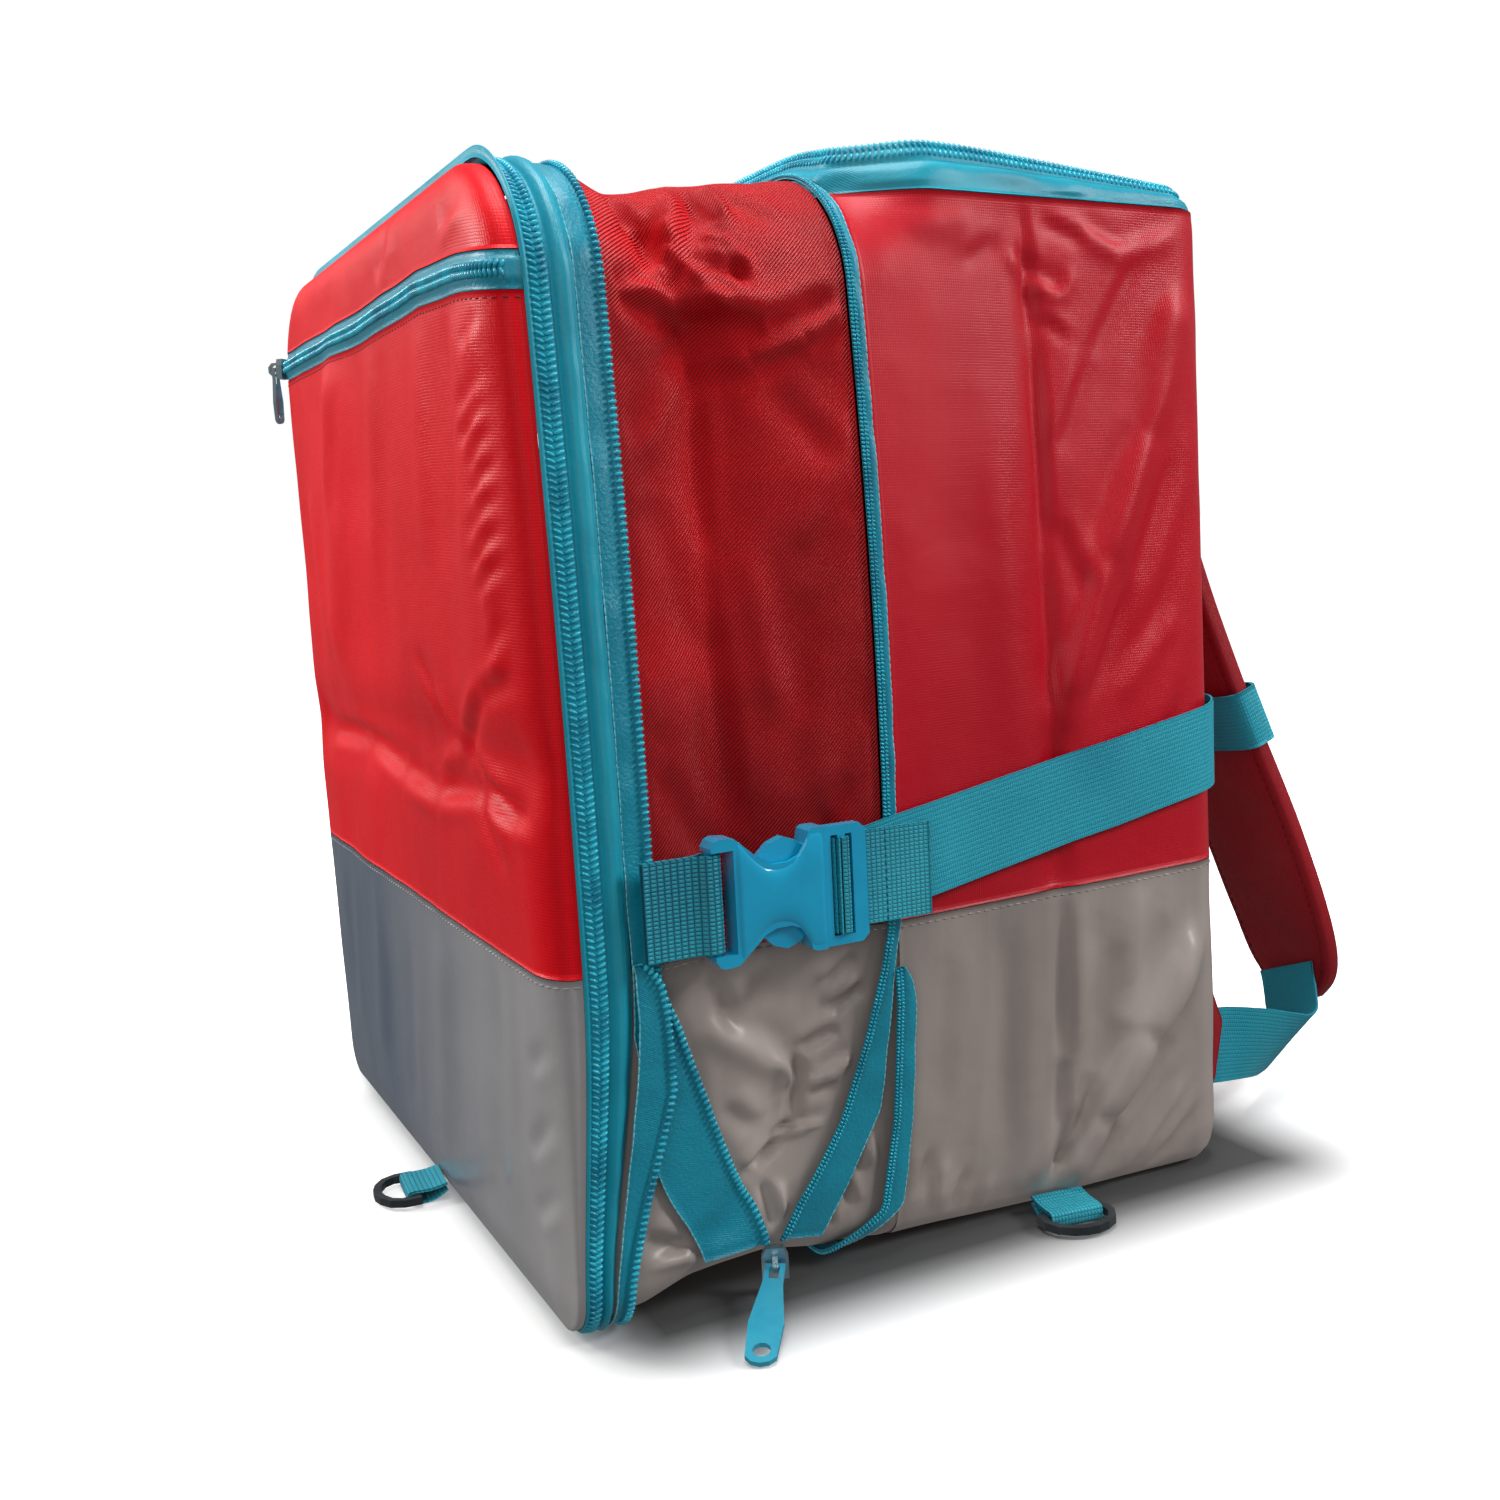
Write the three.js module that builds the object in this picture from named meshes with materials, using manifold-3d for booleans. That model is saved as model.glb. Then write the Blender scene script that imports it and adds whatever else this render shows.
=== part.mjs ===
// Expandable insulated delivery backpack, standing on its base with the gusset open.
// Millimetres, +Z up, the front faces -Y, the buckled side is +X, origin on the floor under the middle.
import * as THREE from 'three';
import { mergeVertices } from 'three/addons/utils/BufferGeometryUtils.js';
import Module from 'manifold-3d';

const wasm = await Module();
wasm.setup();

// Driving dimensions of the bag
const bagWidth = 380;
const bagHeight = 450;
const rimDepth = 13;
const frontZipWidth = 19;
const openZipFrontWidth = 12;
const gussetDepth = 100;
const openZipBackWidth = 7;
const bodyDepth = 184;
const seamHeight = 147;
const topRadius = 50;
const footRadius = 18;
const faceRadius = 18;
const backRadius = 22;
const lidCornerRadius = 14;
const wallTopDrop = 10;
const wallTopHeight = bagHeight - wallTopDrop;
const lidRise = 13;
const lidCrestHeight = bagHeight + lidRise;
const lidBackDrop = 19;
const lidDome = 6;
const lidZipWidth = 22;

// Thicknesses and clearances
const gap = 0.3;
const clothThick = 1.5;
const tapeThick = 1.4;
const wallThick = 6;
const frontThick = 5;
const lidThick = 5;
const basePlateThick = 3.5;
const webbingThick = 1.3;

// Straps and hard parts
const webbingWidth = 38;
const buckleLength = 67;
const buckleWidth = 50;
const buckleThick = 10;
const buckleSplit = 48;
const strapWidth = 72;
const strapThick = 12;
const bandWidth = 30;
const chainWidth = 6;
const chainRise = 1.4;
const pocketZipWidth = 14;
const armTapeWidth = 22;
const pullLength = 55;
const pullWidth = 14;
const smallPullLength = 30;
const smallPullWidth = 8;
const pullThick = 2;
const ringWidth = 20;
const ringWire = 3.6;
const tabWidth = 25;

// Places along the depth, worked out from the widths above
const zoneWidths = [
  { zone: 'rim', width: rimDepth },
  { zone: 'frontZip', width: frontZipWidth },
  { zone: 'openZipFront', width: openZipFrontWidth },
  { zone: 'gusset', width: gussetDepth },
  { zone: 'openZipBack', width: openZipBackWidth },
  { zone: 'body', width: bodyDepth },
];
const bagDepth = zoneWidths.reduce((sum, row) => sum + row.width, 0);
const zones = {};
let zoneStart = -bagDepth / 2;
for (const { zone, width } of zoneWidths) {
  zones[zone] = { start: zoneStart, end: zoneStart + width };
  zoneStart += width;
}
const frontFace = zones.rim.start;
const bodyStart = zones.body.start + gap / 2;
const backFace = zones.body.end;
const yIn = (zone, share) => THREE.MathUtils.lerp(zones[zone].start, zones[zone].end, share);

// Shape of the soft sides along the depth: flare and tuck widen the near and far side at the floor,
// bulge swells both at mid height (shares of the width); sag and lift are shares of the height,
// and kick pulls the foot forward (share of the seam height)
// columns: zone, share of it, flare, tuck, bulge, sag, lift, kick
const sectionRows = [
  ['rim', 0, 0.036, -0.026, 0.014, 0, 0.0085, 0],
  ['rim', 1, 0.038, -0.022, 0.02, 0, 0.0085, -0.05],
  ['frontZip', 0.5, 0.036, -0.02, 0.021, 0, 0.0085, -0.072],
  ['openZipFront', 0, 0.034, -0.012, 0.021, 0, 0.0095, -0.1],
  ['openZipFront', 0.7, 0.032, -0.01, 0.021, 0, 0.0105, -0.125],
  ['gusset', 0.2, 0.026, -0.005, 0.017, 0.02, 0.026, -0.05],
  ['gusset', 0.45, 0.016, 0, 0.02, 0.012, 0.024, 0],
  ['gusset', 0.8, 0.012, 0, 0.03, 0.006, 0.012, 0],
  ['openZipBack', 0.5, 0.01, 0, 0.037, 0, 0.006, 0],
  ['body', 0.45, 0.014, 0, 0.024, 0, 0, 0],
  ['body', 1, 0.024, 0.008, 0.004, 0, 0, 0],
];
const sections = sectionRows.map(([zone, share, flare, tuck, bulge, sag, lift, kick]) => {
  return { y: yIn(zone, share), flare, tuck, bulge, sag, lift, kick };
});

// Folds of the near side, each a line from (y1, z1) to (y2, z2): y as a place in a zone, z, reach and
// depth as shares of the height; a minus depth is a raised ridge
const sideFolds = [
  { zone1: 'gusset', at1: 0.38, z1: 0.82, zone2: 'gusset', at2: 0.3, z2: 0.36, reach: 0.03, depth: 0.016 },
  { zone1: 'gusset', at1: 0.22, z1: 0.95, zone2: 'gusset', at2: 0.34, z2: 0.84, reach: 0.026, depth: 0.016 },
  { zone1: 'gusset', at1: 0.3, z1: 0.9, zone2: 'gusset', at2: 0.75, z2: 0.86, reach: 0.026, depth: -0.008 },
  { zone1: 'gusset', at1: 0.28, z1: 0.06, zone2: 'gusset', at2: 0.72, z2: 0.26, reach: 0.022, depth: 0.008 },
  { zone1: 'body', at1: 0.45, z1: 0.9, zone2: 'body', at2: 0.45, z2: 0.34, reach: 0.018, depth: 0.007 },
  { zone1: 'body', at1: 0.48, z1: 0.5, zone2: 'body', at2: 0.86, z2: 0.86, reach: 0.026, depth: -0.008 },
  { zone1: 'body', at1: 0.45, z1: 0.04, zone2: 'body', at2: 0.85, z2: 0.24, reach: 0.022, depth: -0.01 },
];

// Folds of the front face, from (x1, z1) to (x2, z2): x as a share of half the width, the rest of the height
const frontFolds = [
  { x1: -0.84, z1: 0.475, x2: 0.9, z2: 0.495, reach: 0.035, depth: 0.012 },
  { x1: -0.5, z1: 0.6, x2: -0.3, z2: 0.85, reach: 0.05, depth: -0.008 },
  { x1: 0.75, z1: 0.5, x2: 0.85, z2: 0.84, reach: 0.05, depth: -0.006 },
];

const colours = {
  frontRed: 0xe01733,
  bodyRed: 0xbf2636,
  gussetRed: 0xa80f1c,
  greySide: 0x857a76,
  greyFront: 0x7f8490,
  cyan: 0x1fa2c2,
  buckle: 0x1ea9df,
  metal: 0x8fa9b5,
  blackPlastic: 0x32373a,
  strapRed: 0xa3122a,
};

const clamp01 = (value) => Math.min(1, Math.max(0, value));
const mix = (from, to, share) => from + (to - from) * share;

function smooth(from, to, value) {
  const share = clamp01((value - from) / (to - from));
  return share * share * (3 - 2 * share);
}

// The section table's values at one place along the depth
function sectionAt(y) {
  const next = sections.findIndex((row) => row.y > y);
  if (next === 0) return sections[0];
  if (next < 0) return sections[sections.length - 1];
  const before = sections[next - 1];
  const after = sections[next];
  const share = smooth(before.y, after.y, y);
  const row = {};
  for (const key of ['flare', 'tuck', 'bulge', 'sag', 'lift', 'kick']) {
    row[key] = mix(before[key], after[key], share);
  }
  return row;
}

// How far a point sinks into the folds of a list of lines
function foldDepth(folds, a, b) {
  let depth = 0;
  for (const fold of folds) {
    const [runA, runB] = [fold.a2 - fold.a1, fold.b2 - fold.b1];
    const along = clamp01(((a - fold.a1) * runA + (b - fold.b1) * runB) / (runA ** 2 + runB ** 2));
    const away = Math.hypot(a - fold.a1 - along * runA, b - fold.b1 - along * runB);
    depth += fold.depth * bagHeight * Math.exp(-((away / (fold.reach * bagHeight)) ** 2));
  }
  return depth;
}

const sideLines = sideFolds.map((fold) => ({
  a1: yIn(fold.zone1, fold.at1),
  b1: fold.z1 * bagHeight,
  a2: yIn(fold.zone2, fold.at2),
  b2: fold.z2 * bagHeight,
  reach: fold.reach,
  depth: fold.depth,
}));
const frontLines = frontFolds.map((fold) => ({
  a1: (fold.x1 * bagWidth) / 2,
  b1: fold.z1 * bagHeight,
  a2: (fold.x2 * bagWidth) / 2,
  b2: fold.z2 * bagHeight,
  reach: fold.reach,
  depth: fold.depth,
}));

// Moves a point of the plain block form to where the soft, filled bag has it
function soften(point) {
  const row = sectionAt(point.y);
  const high = clamp01(point.z / bagHeight);
  const side = smooth(0.3, 0.95, (2 * Math.abs(point.x)) / bagWidth) * Math.sign(point.x);
  const flare = point.x > 0 ? row.flare : row.tuck;
  const swell = bagWidth * (row.bulge * Math.sin(Math.PI * high) + flare * (1 - high));
  const fold = point.x > 0 ? foldDepth(sideLines, point.y, point.z) : 0;
  const face = 1 - smooth(frontFace + rimDepth * 0.4, frontFace + rimDepth, point.y);
  const moved = point.clone();
  moved.x += side * (swell - fold);
  moved.y += row.kick * seamHeight * (1 - smooth(0, seamHeight, point.z));
  moved.y += face * foldDepth(frontLines, point.x, point.z);
  moved.z += bagHeight * row.lift * (1 - smooth(0, 0.14, high));
  moved.z -= bagHeight * row.sag * smooth(0.8, 1, high);
  return moved;
}

// Outline of the bag seen from the front, by the distance along it from the middle of the bottom
const halfWidth = bagWidth / 2;
const footFlat = halfWidth - footRadius;
const footArc = (footRadius * Math.PI) / 2;
const sideRun = bagHeight - footRadius - topRadius;
const topArc = (topRadius * Math.PI) / 2;
const topFlat = halfWidth - topRadius;
const halfGirth = footFlat + footArc + sideRun + topArc + topFlat;

function outlineAt(girth, out) {
  const wrapped = THREE.MathUtils.euclideanModulo(girth, 2 * halfGirth);
  const far = wrapped > halfGirth;
  let run = far ? 2 * halfGirth - wrapped : wrapped;
  let x = run;
  let z = -out;
  if (run > footFlat) {
    run -= footFlat;
    const turn = Math.min(run, footArc) / footRadius;
    x = footFlat + (footRadius + out) * Math.sin(turn);
    z = footRadius - (footRadius + out) * Math.cos(turn);
    run -= footArc;
    if (run > 0) z = footRadius + Math.min(run, sideRun);
    run -= sideRun;
    if (run > 0) {
      const top = Math.min(run, topArc) / topRadius;
      x = topFlat + (topRadius + out) * Math.cos(top);
      z = bagHeight - topRadius + (topRadius + out) * Math.sin(top);
      run -= topArc;
    }
    if (run > 0) x = topFlat - run;
  }
  return { x: far ? -x : x, z };
}

function girthAtHeight(z) {
  if (z >= footRadius) return footFlat + footArc + z - footRadius;
  return footFlat + footRadius * Math.acos(1 - z / footRadius);
}

// Stops round the outline: shares of each straight and arc from the bottom to the top, then mirrored
const girthShares = [
  { start: 0, length: footFlat, shares: [0, 0.5] },
  { start: footFlat, length: footArc, shares: [0, 0.33, 0.67] },
  {
    start: footFlat + footArc,
    length: sideRun,
    shares: [0, 0.07, 0.15, 0.22, 0.29, 0.37, 0.5, 0.63, 0.76, 0.88],
  },
  { start: footFlat + footArc + sideRun, length: topArc, shares: [0, 0.25, 0.5, 0.75] },
  { start: halfGirth - topFlat, length: topFlat, shares: [0, 0.33, 0.67] },
];
const stopsFrom = (rows) => rows.flatMap((row) => row.shares.map((share) => row.start + share * row.length));
const nearStops = stopsFrom(girthShares);
const plainShares = girthShares.map((row) =>
  row.length === sideRun ? { ...row, shares: [0, 0.15, 0.29, 0.37, 0.5, 0.76] } : row,
);
const farStops = stopsFrom(plainShares).slice(1).map((stop) => 2 * halfGirth - stop).reverse();
const loopStops = [...nearStops, halfGirth, ...farStops];

// The stops between two places, with both ends; places below zero are on the far side of the bottom
function stopsBetween(from, to) {
  const nearest = 4;
  const all = [...loopStops.map((stop) => stop - 2 * halfGirth), ...loopStops];
  const inner = all.filter((stop) => stop > from + nearest && stop < to - nearest);
  return [from, ...inner, to];
}

function ringPoint(girth, y, out) {
  const { x, z } = outlineAt(girth, out);
  return soften(new THREE.Vector3(x, y, z));
}

// Builds a mesh geometry from points and faces, turned so that its faces point out
function closedGeometry(points, faces) {
  let volume = 0;
  for (const [a, b, c] of faces) volume += points[a].dot(points[b].clone().cross(points[c]));
  const index = faces.flatMap(([a, b, c]) => (volume > 0 ? [a, b, c] : [a, c, b]));
  const geometry = new THREE.BufferGeometry();
  geometry.setFromPoints(points);
  geometry.setIndex(index);
  geometry.computeVertexNormals();
  return geometry;
}

// Joins sections of equal point count: point j on the outside faces point (last - j) on the inside,
// and both sides split their faces along the same diagonal, so that a twisted wall keeps its thickness
function sweep(sectionsList, closed = false) {
  const count = sectionsList[0].length;
  const points = sectionsList.flat();
  const faces = [];
  const quad = (a, b, c, d) => faces.push([a, b, c], [a, c, d]);
  const spans = closed ? sectionsList.length : sectionsList.length - 1;
  for (let i = 0; i < spans; i += 1) {
    const here = i * count;
    const next = ((i + 1) % sectionsList.length) * count;
    for (let j = 0; j < count; j += 1) {
      const k = (j + 1) % count;
      if (j < count / 2) quad(here + j, here + k, next + k, next + j);
      else quad(here + k, next + k, next + j, here + j);
    }
  }
  if (!closed) {
    const last = (sectionsList.length - 1) * count;
    for (let j = 0; j < count / 2 - 1; j += 1) {
      quad(count - 1 - j, count - 2 - j, j + 1, j);
      quad(last + j, last + j + 1, last + count - 2 - j, last + count - 1 - j);
    }
  }
  return closedGeometry(points, faces);
}

// Sweeps columns { across, out, under } along stops: out is the outer face, under the inner face,
// which a closed band may leave out of some columns
function bandAlong({ stops, columns, place, closed = false }) {
  const inner = columns.filter((column) => column.under !== undefined).reverse();
  const sectionsList = stops.map((stop) => [
    ...columns.map((column) => place(stop, column.across, column.out)),
    ...inner.map((column) => place(stop, column.across, column.under)),
  ]);
  return sweep(sectionsList, closed);
}

// A dish of rings, from its rim to a middle point, outside and inside
function dish(outerRings, innerRings) {
  const count = outerRings[0].length;
  const points = [];
  const faces = [];
  const quad = (a, b, c, d) => faces.push([a, b, c], [a, c, d]);
  const skin = (rings, flip) => {
    const start = points.length;
    points.push(...rings.flat());
    const middle = new THREE.Vector3();
    rings[rings.length - 1].forEach((point) => middle.add(point));
    points.push(middle.divideScalar(count));
    for (let i = 0; i < rings.length; i += 1) {
      for (let j = 0; j < count; j += 1) {
        const k = (j + 1) % count;
        const [a, b] = [start + i * count + j, start + i * count + k];
        if (i === rings.length - 1) faces.push(flip ? [b, a, points.length - 1] : [a, b, points.length - 1]);
        else if (flip) quad(b, a, a + count, b + count);
        else quad(a, b, b + count, a + count);
      }
    }
    return start;
  };
  const outer = skin(outerRings, false);
  const inner = skin(innerRings, true);
  for (let j = 0; j < count; j += 1) {
    const k = (j + 1) % count;
    quad(outer + k, outer + j, inner + j, inner + k);
  }
  return closedGeometry(points, faces);
}

function toSolid(geometry) {
  const plain = geometry.clone();
  plain.deleteAttribute('normal');
  plain.deleteAttribute('uv');
  const merged = mergeVertices(plain, 1e-4);
  const mesh = new wasm.Mesh({
    numProp: 3,
    vertProperties: Float32Array.from(merged.attributes.position.array),
    triVerts: Uint32Array.from(merged.index.array),
  });
  return new wasm.Manifold(mesh);
}

function toGeometry(solid) {
  const mesh = solid.getMesh();
  const geometry = new THREE.BufferGeometry();
  geometry.setAttribute('position', new THREE.BufferAttribute(Float32Array.from(mesh.vertProperties), 3));
  geometry.setIndex(new THREE.BufferAttribute(Uint32Array.from(mesh.triVerts), 1));
  geometry.computeVertexNormals();
  return geometry;
}

const joined = (...geometries) => toGeometry(geometries.map(toSolid).reduce((a, b) => a.add(b)));
const cutBy = (geometry, cutter) => toGeometry(toSolid(geometry).subtract(toSolid(cutter)));
const within = (geometry, keeper) => toGeometry(toSolid(geometry).intersect(toSolid(keeper)));

function extruded(outline, depth, holes = [], curveSegments = 4) {
  const shape = new THREE.Shape(outline);
  shape.holes = holes.map((hole) => new THREE.Path(hole));
  return new THREE.ExtrudeGeometry(shape, { depth, bevelEnabled: false, curveSegments });
}

const bag = new THREE.Group();

function addPiece(name, geometry, colour, roughness, metalness = 0, parent = bag) {
  const finish = new THREE.MeshStandardMaterial({ color: colour, roughness, metalness });
  const mesh = new THREE.Mesh(geometry, finish);
  mesh.name = name;
  parent.add(mesh);
  return mesh;
}

// Front section: a padded dish cut into the top strip, the pocket panel and the grey band
const rimEnd = zones.rim.end - gap / 2;
const rimRound = rimDepth * 0.75;

function frontDish(out, under) {
  const turns = [0, Math.PI / 6, Math.PI / 3, Math.PI / 2];
  const shrinks = [0.78, 0.42];
  const rings = (offset) => {
    const rows = [loopStops.map((stop) => ringPoint(stop, rimEnd, offset))];
    for (const turn of turns) {
      const y = frontFace + rimRound * (1 - Math.sin(turn)) - offset * Math.sin(turn);
      const inset = faceRadius * (1 - Math.cos(turn)) - offset * Math.cos(turn);
      rows.push(loopStops.map((stop) => ringPoint(stop, y, -inset)));
    }
    for (const shrink of shrinks) {
      rows.push(
        loopStops.map((stop) => {
          const { x, z } = outlineAt(stop, -faceRadius);
          const level = mix(bagHeight / 2, z, shrink);
          return soften(new THREE.Vector3(x * shrink, frontFace - offset, level));
        }),
      );
    }
    return rows;
  };
  return dish(rings(out), rings(under));
}

// Middle line of the pocket zip, x as a share of half the width and z of the height
const pocketLine = [
  { x: -1.3, z: 0.912 },
  { x: -0.5, z: 0.909 },
  { x: 0, z: 0.907 },
  { x: 0.55, z: 0.911 },
  { x: 0.85, z: 0.904 },
  { x: 1.3, z: 0.884 },
];

// A block that keeps what lies between two lines across the front
function frontSlice(lowLine, highLine) {
  const outline = [...lowLine, ...highLine.slice().reverse()];
  const depth = rimDepth * 4;
  const block = extruded(outline, depth);
  block.rotateX(Math.PI / 2);
  block.translate(0, frontFace + depth * 0.6, 0);
  return block;
}

const zipLine = (shift) =>
  pocketLine.map((row) => new THREE.Vector2(row.x * halfWidth, row.z * bagHeight + shift));
const levelLine = (z) => [new THREE.Vector2(-bagWidth, z), new THREE.Vector2(bagWidth, z)];
const farAway = bagHeight / 4;

const frontShell = frontDish(0, -frontThick);
const halfPocketZip = pocketZipWidth / 2;
addPiece(
  'front_top_strip',
  within(frontShell, frontSlice(zipLine(halfPocketZip + gap), levelLine(bagHeight + farAway))),
  colours.frontRed,
  0.35,
);
addPiece(
  'front_pocket_panel',
  within(frontShell, frontSlice(levelLine(seamHeight + gap / 2), zipLine(-halfPocketZip - gap))),
  colours.frontRed,
  0.3,
);
addPiece(
  'front_grey_band',
  within(frontShell, frontSlice(levelLine(-farAway), levelLine(seamHeight - gap / 2))),
  colours.greyFront,
  0.4,
);
const pocketBand = frontSlice(zipLine(-halfPocketZip), zipLine(halfPocketZip));
addPiece('pocket_zip', within(frontDish(chainRise, -tapeThick), pocketBand), colours.cyan, 0.5);

// Closed zip round the front section: tape, chain, tape and piping ridge
const frontZipStart = zones.frontZip.start + gap / 2;
const ridgeRise = 3.6;
const frontZipColumns = [
  { share: 0, out: 0.6, under: -tapeThick },
  { share: 0.12, out: chainRise + 1 },
  { share: 0.5, out: chainRise + 1 },
  { share: 0.57, out: 1 },
  { share: 0.68, out: ridgeRise },
  { share: 0.9, out: ridgeRise },
  { share: 1, out: 0.8, under: -tapeThick },
].map((row) => ({ ...row, across: row.share * (frontZipWidth - gap) }));
addPiece(
  'front_zip',
  bandAlong({
    stops: loopStops,
    columns: frontZipColumns,
    place: (stop, across, out) => ringPoint(stop, frontZipStart + across, out),
    closed: true,
  }),
  colours.cyan,
  0.5,
);

// Gusset, cut at the seam height where the grey cloth starts
const seamGirth = girthAtHeight(seamHeight);
const gussetShares = [0, 0.08, 0.18, 0.28, 0.38, 0.5, 0.62, 0.76, 0.88, 1];

function gussetBand(from, to, start, end) {
  const width = end - start;
  return bandAlong({
    stops: stopsBetween(from, to),
    columns: gussetShares.map((share) => ({ across: share * width, out: 0, under: -clothThick })),
    place: (stop, across, out) => ringPoint(stop, start + across, out),
  });
}

addPiece(
  'gusset_upper',
  gussetBand(
    seamGirth + gap / 2,
    2 * halfGirth - seamGirth - gap / 2,
    zones.gusset.start + gap / 2,
    zones.gusset.end - gap / 2,
  ),
  colours.gussetRed,
  0.7,
);
addPiece(
  'gusset_lower',
  gussetBand(
    -seamGirth + gap / 2,
    seamGirth - gap / 2,
    zones.openZipFront.start + gap / 2,
    zones.openZipBack.end - gap / 2,
  ),
  colours.greySide,
  0.45,
);

// Open zip halves. A route gives, by height, where the tooth line runs, how wide the tape is and how far
// the strip stands off the cloth; at is a place in a zone, tape a share of the V's tape width
const slider = { zone: 'gusset', at: 0.46, height: 0.028 * bagHeight };
const clothStand = gap + 1;
const overlapStand = clothStand + tapeThick + chainRise + gap;
const zipRoutes = {
  expansion_zip_front: {
    toward: -1,
    rows: [
      { z: 0.028, zone: 'gusset', at: 0.405, tape: 0.9, stand: clothStand },
      { z: 0.08, zone: 'gusset', at: 0.36, tape: 1, stand: clothStand },
      { z: 0.162, zone: 'gusset', at: 0.23, tape: 1, stand: clothStand },
      { z: 0.27, zone: 'gusset', at: 0.05, tape: 0.75, stand: clothStand },
      { z: 0.31, zone: 'openZipFront', at: 0.72, tape: 0.36, stand: clothStand },
      { z: 0.4, zone: 'openZipFront', at: 0.7, tape: 0.36, stand: -tapeThick + 0.8 },
      { z: 2, zone: 'openZipFront', at: 0.7, tape: 0.36, stand: -tapeThick + 0.8 },
    ],
  },
  expansion_zip_back: {
    toward: 1,
    rows: [
      { z: 0.028, zone: 'gusset', at: 0.515, tape: 0.75, stand: clothStand },
      { z: 0.07, zone: 'gusset', at: 0.6, tape: 0.8, stand: clothStand },
      { z: 0.152, zone: 'gusset', at: 0.81, tape: 0.7, stand: clothStand },
      { z: 0.22, zone: 'gusset', at: 0.92, tape: 0.36, stand: clothStand },
      { z: 0.285, zone: 'openZipBack', at: 0, tape: 0.14, stand: clothStand },
      { z: 0.325, zone: 'openZipBack', at: 0.5, tape: 0.14, stand: clothStand },
      { z: 0.4, zone: 'openZipBack', at: 0.5, tape: 0.14, stand: -tapeThick + 0.8 },
      { z: 2, zone: 'openZipBack', at: 0.5, tape: 0.14, stand: -tapeThick + 0.8 },
    ],
  },
  bottom_zip_front: {
    toward: -1,
    rows: [
      { z: -1, zone: 'openZipFront', at: 0.7, tape: 0.34, stand: clothStand },
      { z: 0.04, zone: 'openZipFront', at: 0.7, tape: 0.34, stand: clothStand },
      { z: 0.13, zone: 'gusset', at: -0.02, tape: 0.42, stand: overlapStand },
      { z: 0.22, zone: 'gusset', at: 0.03, tape: 0.62, stand: overlapStand },
      { z: 0.29, zone: 'gusset', at: -0.01, tape: 0.44, stand: overlapStand },
      { z: 0.325, zone: 'openZipFront', at: 0.6, tape: 0.28, stand: overlapStand },
    ],
  },
  bottom_zip_back: {
    toward: 1,
    rows: [
      { z: -1, zone: 'gusset', at: 0.6, tape: 0.34, stand: clothStand },
      { z: 0.008, zone: 'gusset', at: 0.78, tape: 0.34, stand: clothStand },
      { z: 0.045, zone: 'openZipBack', at: 0, tape: 0.34, stand: clothStand },
      { z: 0.14, zone: 'openZipBack', at: 0.8, tape: 0.3, stand: clothStand },
      { z: 0.285, zone: 'openZipBack', at: 1.1, tape: 0.27, stand: clothStand },
    ],
  },
};

function routeAt(route, z) {
  const rows = route.rows.map((row) => ({ ...row, height: row.z * bagHeight, y: yIn(row.zone, row.at) }));
  const next = rows.findIndex((row) => row.height > z);
  if (next <= 0) return rows[next < 0 ? rows.length - 1 : 0];
  const [before, after] = [rows[next - 1], rows[next]];
  const share = clamp01((z - before.height) / (after.height - before.height));
  return {
    y: mix(before.y, after.y, share),
    tape: mix(before.tape, after.tape, share),
    stand: mix(before.stand, after.stand, share),
  };
}

const toothWidth = chainWidth / 2;
const openZipColumns = [
  { tape: 1, tooth: 0, out: tapeThick },
  { tape: 0.5, tooth: 0, out: tapeThick },
  { tape: 0, tooth: -0.4, out: tapeThick },
  { tape: 0, tooth: 0, out: tapeThick + chainRise },
  { tape: 0, tooth: 0.75, out: tapeThick + chainRise },
  { tape: 0, tooth: 1, out: tapeThick * 0.4 },
];

function openZip(name, fromHeight, overTop) {
  const route = zipRoutes[name];
  const foot = girthAtHeight(fromHeight);
  const [from, to] = overTop ? [foot, 2 * halfGirth - foot] : [-foot, foot];
  const sectionsList = stopsBetween(from, to).map((stop) => {
    const { z } = outlineAt(stop, 0);
    const row = routeAt(route, z);
    const across = (column) =>
      row.y + route.toward * (column.tape * row.tape * armTapeWidth - column.tooth * toothWidth);
    return [
      ...openZipColumns.map((column) => ringPoint(stop, across(column), row.stand + column.out)),
      ...openZipColumns.map((column) => ringPoint(stop, across(column), row.stand)).reverse(),
    ];
  });
  return sweep(sectionsList);
}

addPiece('expansion_zip_front', openZip('expansion_zip_front', slider.height, true), colours.cyan, 0.5);
addPiece('expansion_zip_back', openZip('expansion_zip_back', slider.height, true), colours.cyan, 0.5);
addPiece('bottom_zip_front', openZip('bottom_zip_front', seamHeight * 1.02, false), colours.cyan, 0.5);
addPiece('bottom_zip_back', openZip('bottom_zip_back', seamHeight * 0.87, false), colours.cyan, 0.5);

// Body wall: near side, round the back corners, back and far side, by the run along the plan
const bodySide = backFace - backRadius - bodyStart;
const backArc = (backRadius * Math.PI) / 2;
const backFlat = bagWidth - 2 * backRadius;
const wallRun = 2 * bodySide + 2 * backArc + backFlat;
const tuckRun = 40;

function planAt(run, out) {
  const far = run > wallRun / 2;
  const near = far ? wallRun - run : run;
  let x = halfWidth + out;
  let y = bodyStart + near;
  if (near > bodySide) {
    const turn = Math.min(near - bodySide, backArc) / backRadius;
    x = halfWidth - backRadius + (backRadius + out) * Math.cos(turn);
    y = backFace - backRadius + (backRadius + out) * Math.sin(turn);
    const rest = near - bodySide - backArc;
    if (rest > 0) x -= rest;
  }
  return { x: far ? -x : x, y };
}

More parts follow.
